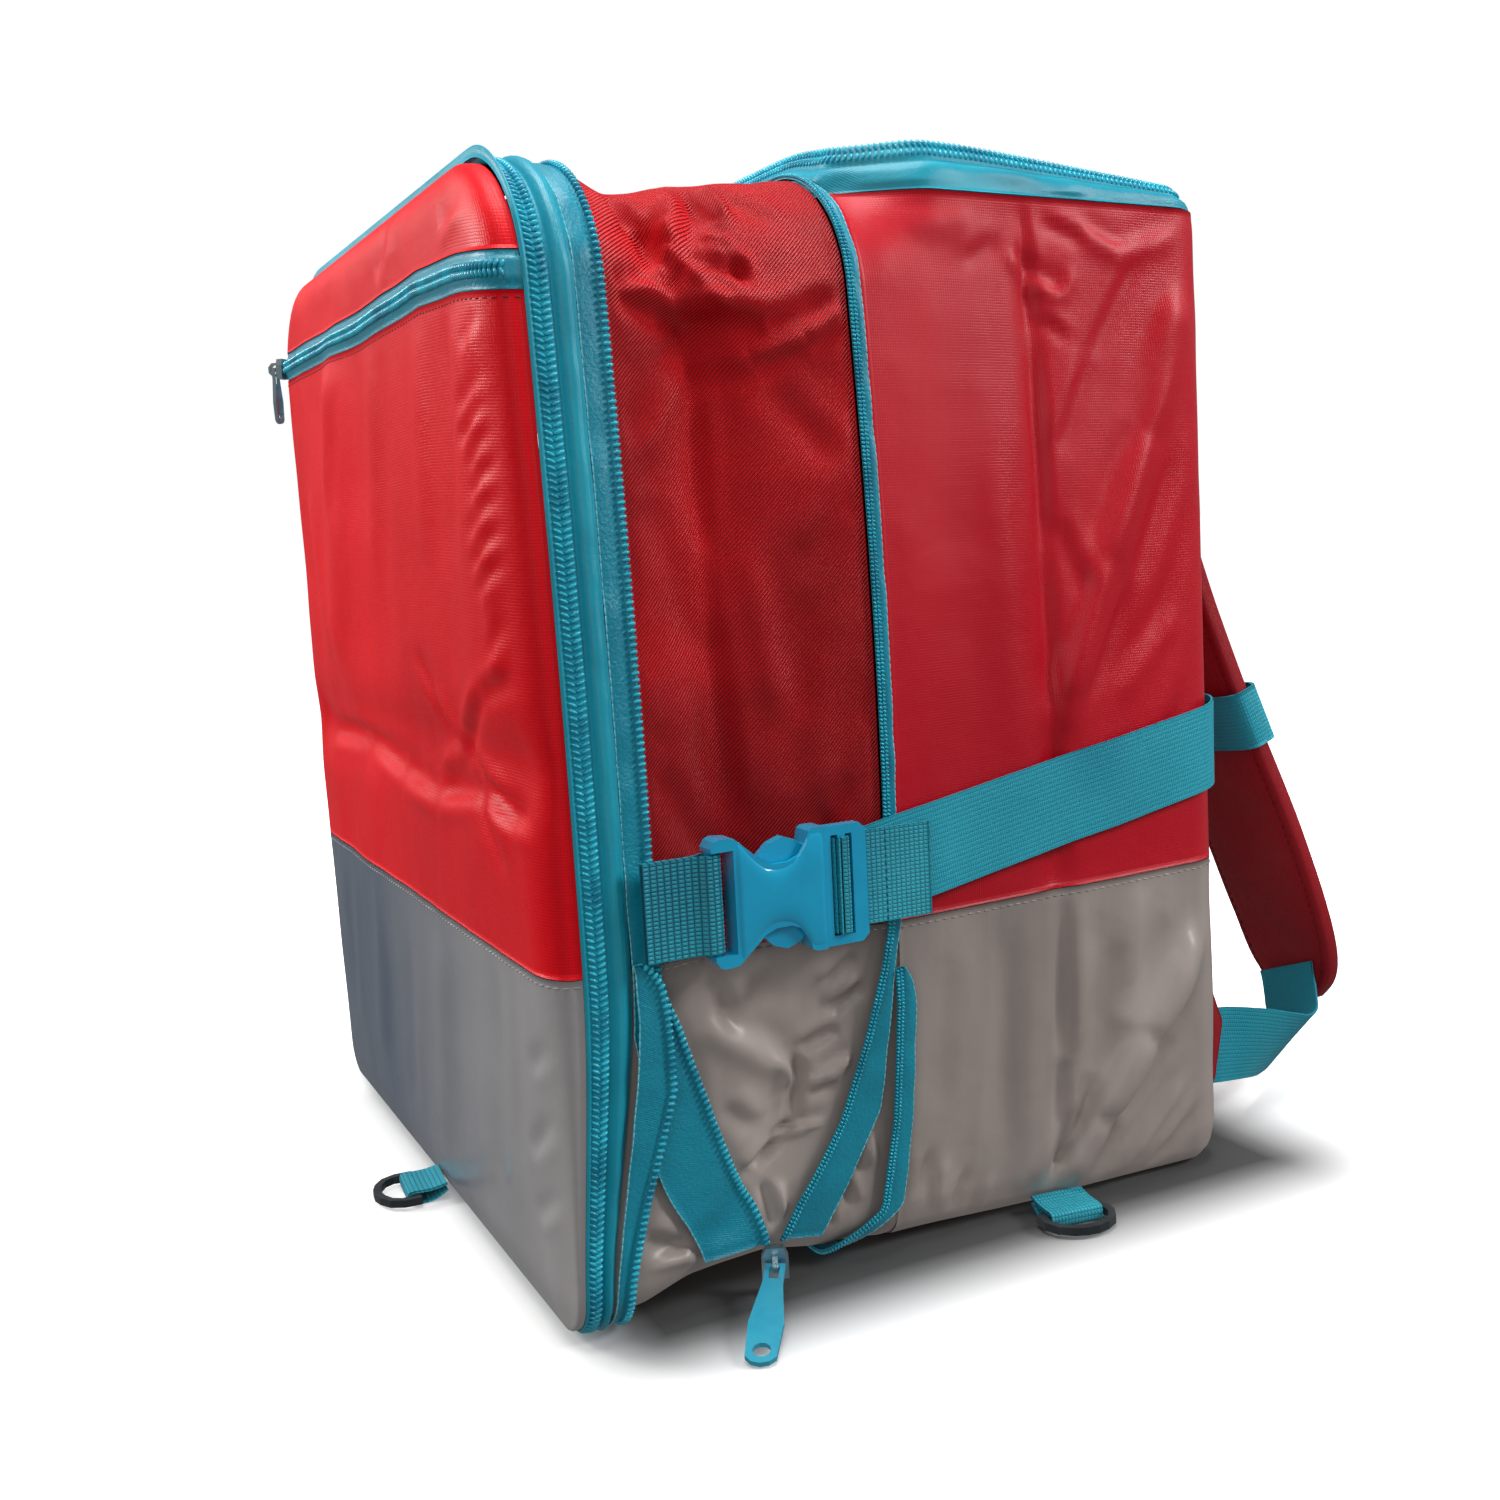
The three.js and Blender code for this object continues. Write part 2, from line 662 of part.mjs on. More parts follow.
// Near the open zip the body's top corner is rounded like the zip, and squares up behind it
function tuckCorner(point) {
  const rise = Math.min(point.z, wallTopHeight) - (bagHeight - topRadius);
  if (rise <= 0) return point;
  const inset = topRadius - Math.sqrt(topRadius ** 2 - rise ** 2);
  const fade = 1 - smooth(bodyStart, bodyStart + tuckRun, point.y);
  const side = smooth(0.4, 1, (2 * Math.abs(point.x)) / bagWidth) * Math.sign(point.x);
  const moved = point.clone();
  moved.x -= side * fade * inset;
  return moved;
}

const bodyPoint = (run, z, out) => {
  const { x, y } = planAt(run, out);
  return soften(tuckCorner(new THREE.Vector3(x, y, z)));
};
const wallTop = (y) => wallTopHeight - (lidBackDrop / 5) * clamp01((y - bodyStart) / (backFace - bodyStart));

const sideShares = [0, 0.08, 0.18, 0.3, 0.42, 0.5, 0.56, 0.66, 0.8, 0.92];
const plainSideShares = [0, 0.18, 0.5, 0.8];
const runsOn = (shares) => [
  ...shares.map((share) => share * bodySide),
  ...[0, 0.33, 0.67, 1].map((share) => bodySide + share * backArc),
];
const farRuns = runsOn(plainSideShares).map((run) => wallRun - run).reverse();
const wallStops = [...runsOn(sideShares), wallRun / 2, ...farRuns];

addPiece(
  'body_wall',
  bandAlong({
    stops: wallStops,
    columns: [0, 0.1, 0.28, 0.46, 0.64, 0.8, 0.92, 1].map((across) => {
      return { across, out: 0, under: -wallThick };
    }),
    place: (run, across, out) => {
      const { y } = planAt(run, 0);
      return bodyPoint(run, mix(seamHeight + gap / 2, wallTop(y) - gap, across), out);
    },
  }),
  colours.bodyRed,
  0.4,
);
const footRound = [
  { z: 0, inset: 0.74 },
  { z: 0.14, inset: 0.36 },
  { z: 0.42, inset: 0.12 },
  { z: 1, inset: 0 },
];
const greyColumns = [
  ...footRound.map((row) => ({ across: gap + row.z * footRadius, out: -row.inset * footRadius })),
  { across: mix(footRadius, seamHeight, 0.33), out: 0 },
  { across: mix(footRadius, seamHeight, 0.67), out: 0 },
  { across: seamHeight - gap / 2, out: 0 },
].map((row) => ({ ...row, under: row.out - frontThick }));
addPiece(
  'body_grey_band',
  bandAlong({ stops: wallStops, columns: greyColumns, place: bodyPoint }),
  colours.greySide,
  0.45,
);

// Padded base inside the foot of the grey band
const baseInset = 0.74 * footRadius + frontThick + 6 * gap;
function roundedPlan(inset, frontRadius, rearRadius, sideSteps = 3) {
  const corners = [
    { x: 1, y: -1, radius: frontRadius, from: -90 },
    { x: 1, y: 1, radius: rearRadius, from: 0 },
    { x: -1, y: 1, radius: rearRadius, from: 90 },
    { x: -1, y: -1, radius: frontRadius, from: 180 },
  ];
  const [middle, reach] = [(bodyStart + backFace) / 2, (backFace - bodyStart) / 2];
  const points = [];
  for (const corner of corners) {
    const outer = Math.max(corner.radius, inset + 1);
    for (const turn of [0, 30, 60, 90]) {
      const angle = THREE.MathUtils.degToRad(corner.from + turn);
      const radius = outer - inset;
      points.push(
        new THREE.Vector2(
          corner.x * (halfWidth - outer) + radius * Math.cos(angle),
          middle + corner.y * (reach - outer) + radius * Math.sin(angle),
        ),
      );
    }
  }
  const arcSteps = 4;
  return points.flatMap((point, i) => {
    if (i % arcSteps !== arcSteps - 1) return [point];
    const next = points[(i + 1) % points.length];
    const steps = Array.from({ length: sideSteps }, (_, step) => (step + 1) / (sideSteps + 1));
    return [point, ...steps.map((share) => point.clone().lerp(next, share))];
  });
}

const baseCorner = 6;
const baseReach = halfWidth - baseInset;
const baseOutline = [
  { x: -baseReach, y: bodyStart + gap },
  { x: -baseReach / 2, y: bodyStart + gap },
  { x: 0, y: bodyStart + gap },
  { x: baseReach / 2, y: bodyStart + gap },
  { x: baseReach, y: bodyStart + gap },
  { x: baseReach, y: backFace - baseInset - baseCorner },
  { x: baseReach - baseCorner, y: backFace - baseInset },
  { x: baseCorner - baseReach, y: backFace - baseInset },
  { x: -baseReach, y: backFace - baseInset - baseCorner },
].map((row) => soften(new THREE.Vector3(row.x, row.y, 0)));
addPiece(
  'base_panel',
  extruded(baseOutline.map((point) => new THREE.Vector2(point.x, point.y)), basePlateThick),
  colours.bodyRed,
  0.6,
);

// Lid zip: a tape rising from the wall's top edge to the closed chain, then the lid's edge
const lidZipProfile = [
  { inset: 0.02, rise: 0 },
  { inset: 0.08, rise: 0.45 },
  { inset: 0.28, rise: 0.84 },
  { inset: 0.4, rise: 1.1 },
  { inset: 0.72, rise: 1.12 },
  { inset: 0.82, rise: 0.96 },
  { inset: 1, rise: 0.92 },
  { inset: 1, rise: 0.78 },
  { inset: 0.44, rise: 0.78 },
  { inset: 0.16, rise: 0.3 },
  { inset: 0.12, rise: 0 },
];

function lidFoot(x, y) {
  const over = Math.min(Math.max(Math.abs(x) - topFlat, 0), topRadius);
  const arc = bagHeight - topRadius + Math.sqrt(topRadius ** 2 - over ** 2) - tapeThick;
  const front = 1 - smooth(bodyStart, bodyStart + lidCornerRadius, y);
  return mix(wallTop(y), Math.max(wallTop(y), arc), front);
}

function lidCrest(y) {
  const share = clamp01((y - bodyStart) / (backFace - bodyStart));
  return lidCrestHeight - lidBackDrop * share;
}

const lidPlan = (inset) => roundedPlan(inset, lidCornerRadius, backRadius);
const lidRings = lidZipProfile.map((row) => ({ ...row, ring: lidPlan(row.inset * lidZipWidth + gap) }));
const lidSections = lidRings[0].ring.map((_, i) =>
  lidRings.map(({ ring, rise }) => {
    const { x, y } = ring[i];
    const z = mix(lidFoot(x, y) + gap, lidCrest(y), rise);
    return soften(tuckCorner(new THREE.Vector3(x, y, z)));
  }),
);
addPiece('lid_zip', sweep(lidSections, true), colours.cyan, 0.5);

const lidEdge = lidPlan(lidZipWidth + 2 * gap);
const lidShrinks = [
  { scale: 1, rise: 0 },
  { scale: 0.85, rise: 0.45 },
  { scale: 0.55, rise: 0.85 },
  { scale: 0.25, rise: 1 },
];
const lidMiddle = (bodyStart + backFace) / 2;
const lidSkin = (drop) =>
  lidShrinks.map(({ scale, rise }) =>
    lidEdge.map((edge) => {
      const y = mix(lidMiddle, edge.y, scale);
      const foot = lidFoot(edge.x, edge.y) + gap;
      const rim = mix(foot, lidCrest(edge.y), 0.9);
      const z = mix(lidCrest(lidMiddle) - 2, rim, scale) + lidDome * rise - drop;
      return soften(tuckCorner(new THREE.Vector3(edge.x * scale, y, z)));
    }),
  );
addPiece('lid_panel', dish(lidSkin(0), lidSkin(lidThick)), colours.bodyRed, 0.4);

// Buckle and webbing on the near side, on a straight line clear of the swollen gusset
const sideX = (y, z) => soften(new THREE.Vector3(halfWidth, y, z)).x;
const buckleStart = zones.gusset.start + 0.18 * gussetDepth;
const strapLevel = seamHeight + 0.62 * webbingWidth - 1;
const strapStand = ridgeRise + 1.6;
const strapX = Math.max(sideX(buckleStart, strapLevel), sideX(bodyStart, strapLevel)) + strapStand;

// A strip of webbing through plan points { x, y }, with its middle level from height(y)
function webbingStrip(route, width, thick, height) {
  const sectionsList = route.map((point, i) => {
    const before = route[Math.max(i - 1, 0)];
    const after = route[Math.min(i + 1, route.length - 1)];
    const along = new THREE.Vector2(after.x - before.x, after.y - before.y).normalize();
    const side = new THREE.Vector2(along.y, -along.x).multiplyScalar(thick / 2);
    const level = height(point.y);
    const corner = (sign, up) =>
      new THREE.Vector3(point.x + sign * side.x, point.y + sign * side.y, level + (up * width) / 2);
    return [corner(1, -1), corner(1, 1), corner(-1, 1), corner(-1, -1)];
  });
  return sweep(sectionsList);
}

const loopBarWidth = 3.6;
const buckleInner = strapX - buckleThick * 0.14;
const loopBar = { x: buckleInner + buckleThick / 2, y: buckleStart + loopBarWidth / 2 };
const wrap = loopBarWidth / 2 + webbingThick / 2 + 0.9;
const tabFoot = zones.openZipFront.start + 0.3 * openZipFrontWidth;
const tabWraps = [90, 45, 0, -45, -90].map((angle) => {
  const turn = THREE.MathUtils.degToRad(angle);
  return { x: loopBar.x + wrap * Math.sin(turn), y: loopBar.y + wrap * Math.cos(turn) };
});
const tabApart = webbingThick / 2 + 0.25;
const tabRoute = [
  { x: loopBar.x + tabApart, y: tabFoot },
  { x: loopBar.x + tabApart, y: loopBar.y - wrap * 2.6 },
  { x: loopBar.x + wrap, y: loopBar.y - wrap * 0.9 },
  ...tabWraps,
  { x: loopBar.x - wrap, y: loopBar.y - wrap * 0.9 },
  { x: loopBar.x - tabApart, y: loopBar.y - wrap * 2.6 },
  { x: loopBar.x - tabApart, y: tabFoot },
];
const tabStrip = webbingStrip(tabRoute, webbingWidth, webbingThick, () => strapLevel);
addPiece('strap_tab', tabStrip, colours.cyan, 0.75);

// Buckle outlines, along the buckle from the loop end and up from its middle, mirrored below
const mirrored = (rows) => [
  ...rows.map((row) => new THREE.Vector2(row.along, row.up)),
  ...rows.slice().reverse().map((row) => new THREE.Vector2(row.along, -row.up)),
];
const halfBuckle = buckleWidth / 2;
const femaleOutline = mirrored(
  [
    { along: 0, up: 0.86 },
    { along: 0.03, up: 0.96 },
    { along: 0.08, up: 1 },
    { along: 0.2, up: 0.98 },
    { along: 0.32, up: 0.78 },
    { along: 0.44, up: 0.58 },
    { along: 0.54, up: 0.5 },
    { along: 0.68, up: 0.5 },
    { along: 0.78, up: 0.58 },
    { along: 0.84, up: 0.74 },
    { along: 0.86, up: 0.93 },
    { along: 0.9, up: 0.97 },
    { along: 1, up: 0.97 },
  ].map((row) => ({ along: row.along * buckleSplit, up: row.up * halfBuckle })),
);
const armOutline = (grow) => {
  const rows = [
    { along: 1.02, up: 0.6 },
    { along: 0.86, up: 0.62 },
    { along: 0.78, up: 0.8 },
    { along: 0.66, up: 0.88 },
    { along: 0.54, up: 0.8 },
    { along: 0.44, up: 0.62 },
    { along: 0.4, up: 0.42 },
    { along: 0.48, up: 0.36 },
    { along: 0.62, up: 0.4 },
    { along: 1.02, up: 0.36 },
  ];
  const middle = 0.52 * halfBuckle;
  return rows.map((row) => {
    const up = row.up * halfBuckle;
    return new THREE.Vector2(
      row.along * buckleSplit - (row.along < 0.5 ? grow : 0) + (row.along > 1 ? grow : 0),
      up + Math.sign(up - middle) * grow,
    );
  });
};
const flipUp = (outline) => outline.map((point) => new THREE.Vector2(point.x, -point.y)).reverse();

// Turns an outline drawn along the buckle so that it lies on the bag's near side
function onSide(outline, thick, inner, holes = []) {
  const block = extruded(outline, thick, holes);
  block.applyMatrix4(
    new THREE.Matrix4().makeBasis(
      new THREE.Vector3(0, 1, 0),
      new THREE.Vector3(0, 0, 1),
      new THREE.Vector3(1, 0, 0),
    ),
  );
  block.translate(inner, buckleStart, strapLevel);
  return block;
}

const boxOutline = (from, to, up) => [
  new THREE.Vector2(from, -up),
  new THREE.Vector2(to, -up),
  new THREE.Vector2(to, up),
  new THREE.Vector2(from, up),
];
const armThick = buckleThick * 0.42;
const armClear = 0.5;
const loopHole = boxOutline(loopBarWidth, loopBarWidth + 5.6, webbingWidth / 2 + 1);
const femaleBlock = onSide(femaleOutline, buckleThick, buckleInner, [loopHole]);
const armCavity = (outline) =>
  onSide(outline, armThick + 2 * armClear, buckleInner + (buckleThick - armThick) / 2 - armClear);
const tongueStart = 0.66 * buckleSplit;
const tongue = (grow) => boxOutline(tongueStart - grow, buckleSplit * 1.02 + grow, 0.16 * halfBuckle + grow);
const barThick = buckleThick * 0.36;
const barCut = boxOutline(-1, loopBarWidth + 1, webbingWidth / 2 + 1);
const barSide = (buckleThick - barThick) / 2;
let female = cutBy(femaleBlock, onSide(barCut, barSide + 1, buckleInner - 1));
female = cutBy(female, onSide(barCut, barSide + 1, buckleInner + barSide + barThick));
female = cutBy(female, armCavity(armOutline(armClear)));
female = cutBy(female, armCavity(flipUp(armOutline(armClear))));
female = cutBy(female, armCavity(tongue(armClear)));
addPiece('buckle_female', female, colours.buckle, 0.3);

const baseRail = 3;
const adjusterBar = 3.4;
const slotWidth = 3;
const maleStart = buckleSplit + gap;
const slotOne = maleStart + baseRail;
const slotTwo = slotOne + slotWidth + adjusterBar;
const maleOutline = mirrored([
  { along: maleStart, up: 0.95 * halfBuckle },
  { along: buckleLength - 3, up: 0.95 * halfBuckle },
  { along: buckleLength, up: 0.84 * halfBuckle },
]);
const maleRail = buckleThick * 0.48;
const maleInner = buckleInner + buckleThick - maleRail - 0.6;
let maleFrame = onSide(maleOutline, maleRail, maleInner);
for (const from of [slotOne, slotTwo]) {
  const slot = boxOutline(from, from + slotWidth, webbingWidth / 2 + 1);
  maleFrame = cutBy(maleFrame, onSide(slot, maleRail + 2, maleInner - 1));
}
const armInner = buckleInner + (buckleThick - armThick) / 2;
const maleArm = onSide(armOutline(0), armThick, armInner);
const maleArmLow = onSide(flipUp(armOutline(0)), armThick, armInner);
const maleTongue = onSide(tongue(0), armThick, armInner);
addPiece('buckle_male', joined(maleFrame, maleArm, maleArmLow, maleTongue), colours.buckle, 0.3);

// Long strap: under the buckle's frame, along the side, round the back corner
const strapRise = 0.155;
const strapLow = buckleStart + buckleLength;
const strapHeight = (y) => strapLevel + strapRise * Math.max(0, y - strapLow);
const onBody = (run) => {
  const { x, y } = planAt(run, 0);
  const swell = soften(new THREE.Vector3(x, y, strapHeight(y)));
  const turn = clamp01((run - bodySide) / backArc) * (Math.PI / 2);
  const stand = mix(webbingThick / 2 + 2.4, webbingThick / 2 + 1.9, smooth(0, bodySide * 0.4, run));
  return { x: swell.x + stand * Math.cos(turn), y: swell.y + stand * Math.sin(turn) };
};
const barX = maleInner + maleRail + webbingThick / 2 + 0.6;
const slotMiddle = (from) => buckleStart + from + slotWidth / 2;
const strapInner = maleInner - 1.5 * webbingThick - 1.1;
const longRoute = [
  { x: barX, y: slotMiddle(slotOne) + slotWidth * 0.6 },
  { x: barX - 0.3, y: slotMiddle(slotOne) + 0.4 },
  { x: maleInner + maleRail * 0.5, y: slotMiddle(slotOne) },
  { x: strapInner + 0.8, y: slotMiddle(slotOne) + 0.4 },
  { x: strapInner, y: slotMiddle(slotOne) + slotWidth },
  { x: strapInner, y: buckleStart + buckleLength },
  ...[0.02, 0.12, 0.3, 0.42, 0.56, 0.7, 0.85, 1].map((share) => onBody(share * bodySide)),
  ...[0.33, 0.67, 1].map((share) => onBody(bodySide + share * backArc)),
  onBody(bodySide + backArc + webbingWidth),
];
addPiece('side_strap', webbingStrip(longRoute, webbingWidth, webbingThick, strapHeight), colours.cyan, 0.75);
const freeLength = 32;
const freeX = strapInner + webbingThick + 0.5;
const freeRoute = [
  { x: barX, y: slotMiddle(slotOne) + slotWidth * 0.6 + gap + webbingThick * 0.2 },
  { x: barX, y: slotMiddle(slotTwo) - slotWidth * 0.4 },
  { x: maleInner + maleRail * 0.5, y: slotMiddle(slotTwo) - slotWidth * 0.1 },
  { x: freeX + 0.9, y: slotMiddle(slotTwo) },
  { x: freeX, y: slotMiddle(slotTwo) + slotWidth * 0.4 },
  { x: freeX + 0.6, y: buckleStart + buckleLength + 4 },
  { x: freeX + 1.4, y: buckleStart + buckleLength + freeLength },
];
const freeStrip = webbingStrip(freeRoute, webbingWidth, webbingThick, () => strapLevel);
addPiece('strap_free_end', freeStrip, colours.cyan, 0.75);

// Shoulder straps: padded, from the top of the back down to the adjuster webbing; out is behind the back
const strapRows = [
  { x: 0.3, out: 0.02, z: 0.93, width: 1 },
  { x: 0.32, out: 0.13, z: 0.88, width: 1 },
  { x: 0.39, out: 1.4, z: 0.77, width: 1 },
  { x: 0.45, out: 2.9, z: 0.67, width: 1 },
  { x: 0.5, out: 4.1, z: 0.55, width: 1 },
  { x: 0.54, out: 5.6, z: 0.43, width: 1 },
  { x: 0.57, out: 7.4, z: 0.31, width: 1 },
  { x: 0.59, out: 8.9, z: 0.2, width: 0.96 },
  { x: 0.6, out: 9.7, z: 0.13, width: 0.82 },
  { x: 0.6, out: 9.9, z: 0.09, width: 0.5 },
];

function shoulderStrap(sign) {
  const middles = strapRows.map(
    (row) =>
      new THREE.Vector3(
        sign * row.x * halfWidth,
        backFace + gap + strapThick * (0.5 + row.out),
        row.z * bagHeight,
      ),
  );
  const sectionsList = middles.map((middle, i) => {
    const next = middles[Math.min(i + 1, middles.length - 1)];
    const along = next.clone().sub(middles[Math.max(i - 1, 0)]).normalize();
    const across = new THREE.Vector3(1, 0, 0);
    across.addScaledVector(along, -across.dot(along)).normalize();
    const through = new THREE.Vector3().crossVectors(along, across).normalize();
    const half = (strapRows[i].width * strapWidth) / 2;
    const thick = strapThick / 2;
    const corner = (a, t) =>
      middle.clone().addScaledVector(across, a * half).addScaledVector(through, t * thick);
    return [
      corner(-1, 0.25),
      corner(-0.9, 1),
      corner(0.9, 1),
      corner(1, 0.25),
      corner(1, -0.25),
      corner(0.9, -1),
      corner(-0.9, -1),
      corner(-1, -0.25),
    ];
  });
  return { geometry: sweep(sectionsList), middles };
}

// A webbing band wrapped round a shoulder strap at one share of the height
function strapBand(middles) {
  const level = 0.437 * bagHeight;
  const i = strapRows.findIndex((row) => row.z * bagHeight < level);
  const share = (middles[i - 1].z - level) / (middles[i - 1].z - middles[i].z);
  const middle = middles[i - 1].clone().lerp(middles[i], share);
  const along = middles[i].clone().sub(middles[i - 1]).normalize();
  const across = new THREE.Vector3(1, 0, 0);
  across.addScaledVector(along, -across.dot(along)).normalize();
  const through = new THREE.Vector3().crossVectors(along, across).normalize();
  const ringCorners = [
    [-1, -0.6],
    [-1, 0.6],
    [-0.92, 1],
    [0.92, 1],
    [1, 0.6],
    [1, -0.6],
    [0.92, -1],
    [-0.92, -1],
  ];
  const sectionsList = ringCorners.map(([a, t]) => {
    const at = (extra, down) =>
      middle
        .clone()
        .addScaledVector(across, a * (strapWidth / 2 + 1.2 + extra))
        .addScaledVector(through, t * (strapThick / 2 + 1.6 + extra))
        .addScaledVector(along, (down * bandWidth) / 2);
    return [at(webbingThick, -1), at(webbingThick, 1), at(0, 1), at(0, -1)];
  });
  return sweep(sectionsList, true);
}

// Red wing sewn at the bottom back corner: y out from the back and z as shares of its height
const wingHeight = 84;
const wingThick = 3;
const wingOutline = [
  { out: 0, z: 0.04 },
  { out: 0.1, z: 0 },
  { out: 0.2, z: 0.16 },
  { out: 0.26, z: 0.5 },
  { out: 0.19, z: 0.68 },
  { out: 0.16, z: 0.92 },
  { out: 0, z: 1 },
];
const wingFoot = 14;
const wingX = halfWidth - backRadius - wingThick;

function cornerWing(sign) {
  const outline = wingOutline.map((row) => new THREE.Vector2(row.out * wingHeight, row.z * wingHeight));
  const block = extruded(outline, wingThick);
  block.applyMatrix4(
    new THREE.Matrix4().makeBasis(
      new THREE.Vector3(0, 1, 0),
      new THREE.Vector3(0, 0, 1),
      new THREE.Vector3(1, 0, 0),
    ),
  );
  block.translate(sign > 0 ? wingX : -wingX - wingThick, backFace + gap, wingFoot);
  return block;
}

// Adjuster webbing from the wing to the strap's inner face, in a slack loop: x as a share of half the
// width, out of the loop's reach, z of the height, and lean from upright to flat
const adjusterReach = strapThick * 9.7 - webbingThick;
const adjusterRows = [
  { x: 0.863, out: 0.09, z: 0.096, lean: 0 },
  { x: 0.863, out: 0.22, z: 0.093, lean: 0 },
  { x: 0.855, out: 0.4, z: 0.084, lean: 0.2 },
  { x: 0.82, out: 0.59, z: 0.07, lean: 0.42 },
  { x: 0.77, out: 0.76, z: 0.06, lean: 0.64 },
  { x: 0.71, out: 0.89, z: 0.066, lean: 0.82 },
  { x: 0.65, out: 0.965, z: 0.093, lean: 0.96 },
  { x: 0.62, out: 0.985, z: 0.125, lean: 1 },
];

function adjusterWebbing(sign) {
  const middles = adjusterRows.map(
    ({ x, out, z }) =>
      new THREE.Vector3(sign * x * halfWidth, backFace + out * adjusterReach, z * bagHeight),
  );
  const sectionsList = middles.map((middle, i) => {
    const next = middles[Math.min(i + 1, middles.length - 1)];
    const along = next.clone().sub(middles[Math.max(i - 1, 0)]).normalize();
    const { lean } = adjusterRows[i];
    const up = new THREE.Vector3(sign * lean, 0, Math.sqrt(1 - lean ** 2));
    up.addScaledVector(along, -up.dot(along)).normalize();
    const through = new THREE.Vector3().crossVectors(along, up).normalize();
    const corner = (a, t) =>
      middle
        .clone()
        .addScaledVector(up, (a * webbingWidth) / 2)
        .addScaledVector(through, (t * webbingThick) / 2);
    return [corner(-1, 1), corner(1, 1), corner(1, -1), corner(-1, -1)];
  });
  return sweep(sectionsList);
}

for (const { side, sign } of [
  { side: 'right', sign: 1 },
  { side: 'left', sign: -1 },
]) {
  const { geometry, middles } = shoulderStrap(sign);
  addPiece(`shoulder_strap_${side}`, geometry, colours.strapRed, 0.6);
  addPiece(`strap_band_${side}`, strapBand(middles), colours.cyan, 0.75);
  addPiece(`corner_wing_${side}`, cornerWing(sign), colours.strapRed, 0.6);
  addPiece(`adjuster_webbing_${side}`, adjusterWebbing(sign), colours.cyan, 0.75);
}

// Tabs at the foot: a webbing strip with a plastic ring, lying just above the floor
const ringLength = tabWidth + 2 * (ringWire + 1);
const ringProfile = [
  { x: 0, y: 1 },
  { x: 0.4, y: 1 },
  { x: 0.72, y: 0.82 },
  { x: 0.92, y: 0.48 },
  { x: 1, y: 0.16 },
];
function ringOutline(inset) {
  const [long, half] = [ringWidth - 2 * inset, ringLength / 2 - inset];
  return mirrored(ringProfile.map((row) => ({ along: inset + row.x * long, up: row.y * half })));
}
const ringShape = () => extruded(ringOutline(0), ringWire, [ringOutline(ringWire).reverse()]);

// Doubled webbing from the bag's foot round the near bar of a ring that lies flat; the bar starts at 0
const layerStand = webbingThick / 2 + gap;
const tabLow = layerStand;
const ringLow = tabLow + layerStand;
const tabHigh = ringLow + ringWire + layerStand;
function loopTab(length, width) {
  const nose = ringWire + layerStand + 2 * gap;
  const path = [
    { along: -length, z: tabHigh + webbingThick },
    { along: -length * 0.45, z: tabHigh },
    { along: ringWire - gap, z: tabHigh },
    { along: nose, z: tabHigh - webbingThick * 0.7 },
    { along: nose, z: tabLow + webbingThick * 0.7 },
    { along: ringWire - gap, z: tabLow },
    { along: -length * 0.45, z: tabLow + 0.4 },
    { along: -length, z: tabHigh - webbingThick - gap },
  ];
  const sectionsList = path.map((point, i) => {
    const before = path[Math.max(i - 1, 0)];
    const after = path[Math.min(i + 1, path.length - 1)];
    const [runX, runZ] = [after.along - before.along, after.z - before.z];
    const size = Math.hypot(runX, runZ);
    const corner = (a, t) =>
      new THREE.Vector3(
        point.along - ((t * runZ) / size) * (webbingThick / 2),
        (a * width) / 2,
        point.z + ((t * runX) / size) * (webbingThick / 2),
      );
    return [corner(-1, 1), corner(1, 1), corner(1, -1), corner(-1, -1)];
  });
  return sweep(sectionsList);
}

const tabLength = 13;
const footTabs = [
  { name: 'front', x: 0.1 * halfWidth, y: frontFace - tabLength + 0.9, turn: -95 },
  { name: 'side', x: sideX(yIn('body', 0.43), 0) + tabLength + 1, y: yIn('body', 0.43), turn: -8 },
];
for (const { name, x, y, turn } of footTabs) {
  const group = new THREE.Group();
  group.position.set(x, y, 0);
  group.rotation.z = THREE.MathUtils.degToRad(turn);
  bag.add(group);
  addPiece(`${name}_tab`, loopTab(tabLength, tabWidth), colours.cyan, 0.75, 0, group);
  const ring = addPiece(`${name}_ring`, ringShape(), colours.blackPlastic, 0.4, 0, group);
  ring.position.set(0, 0, ringLow);
}

// A slider has an arch over its body, and the end bar of its pull lies under the arch; both are drawn
// along +X with +Z away from the cloth
const archInner = 2.7;
const archThick = 1.3;
const archWidth = 2.2;
const roundOutline = (radius, steps, x = 0) =>
  Array.from({ length: steps }, (_, i) => {
    const turn = ((i + 0.5) / steps) * 2 * Math.PI;
    return new THREE.Vector2(x + radius * Math.cos(turn), radius * Math.sin(turn));
  });

function sliderBlock({ length, width, thick }) {
  const outline = [
    new THREE.Vector2(-length / 2, -width * 0.32),
    new THREE.Vector2(-length * 0.2, -width / 2),
    new THREE.Vector2(length / 2, -width / 2),
    new THREE.Vector2(length / 2, width / 2),
    new THREE.Vector2(-length * 0.2, width / 2),
    new THREE.Vector2(-length / 2, width * 0.32),
  ];
  const body = extruded(outline, thick);
  const arch = extruded(roundOutline(archInner + archThick, 8), archWidth, [
    roundOutline(archInner, 8).reverse(),
  ]);
  arch.translate(0, 0, -archWidth / 2);
  arch.rotateX(Math.PI / 2);
  arch.translate(0, 0, thick + archInner);
  return joined(body, arch);
}

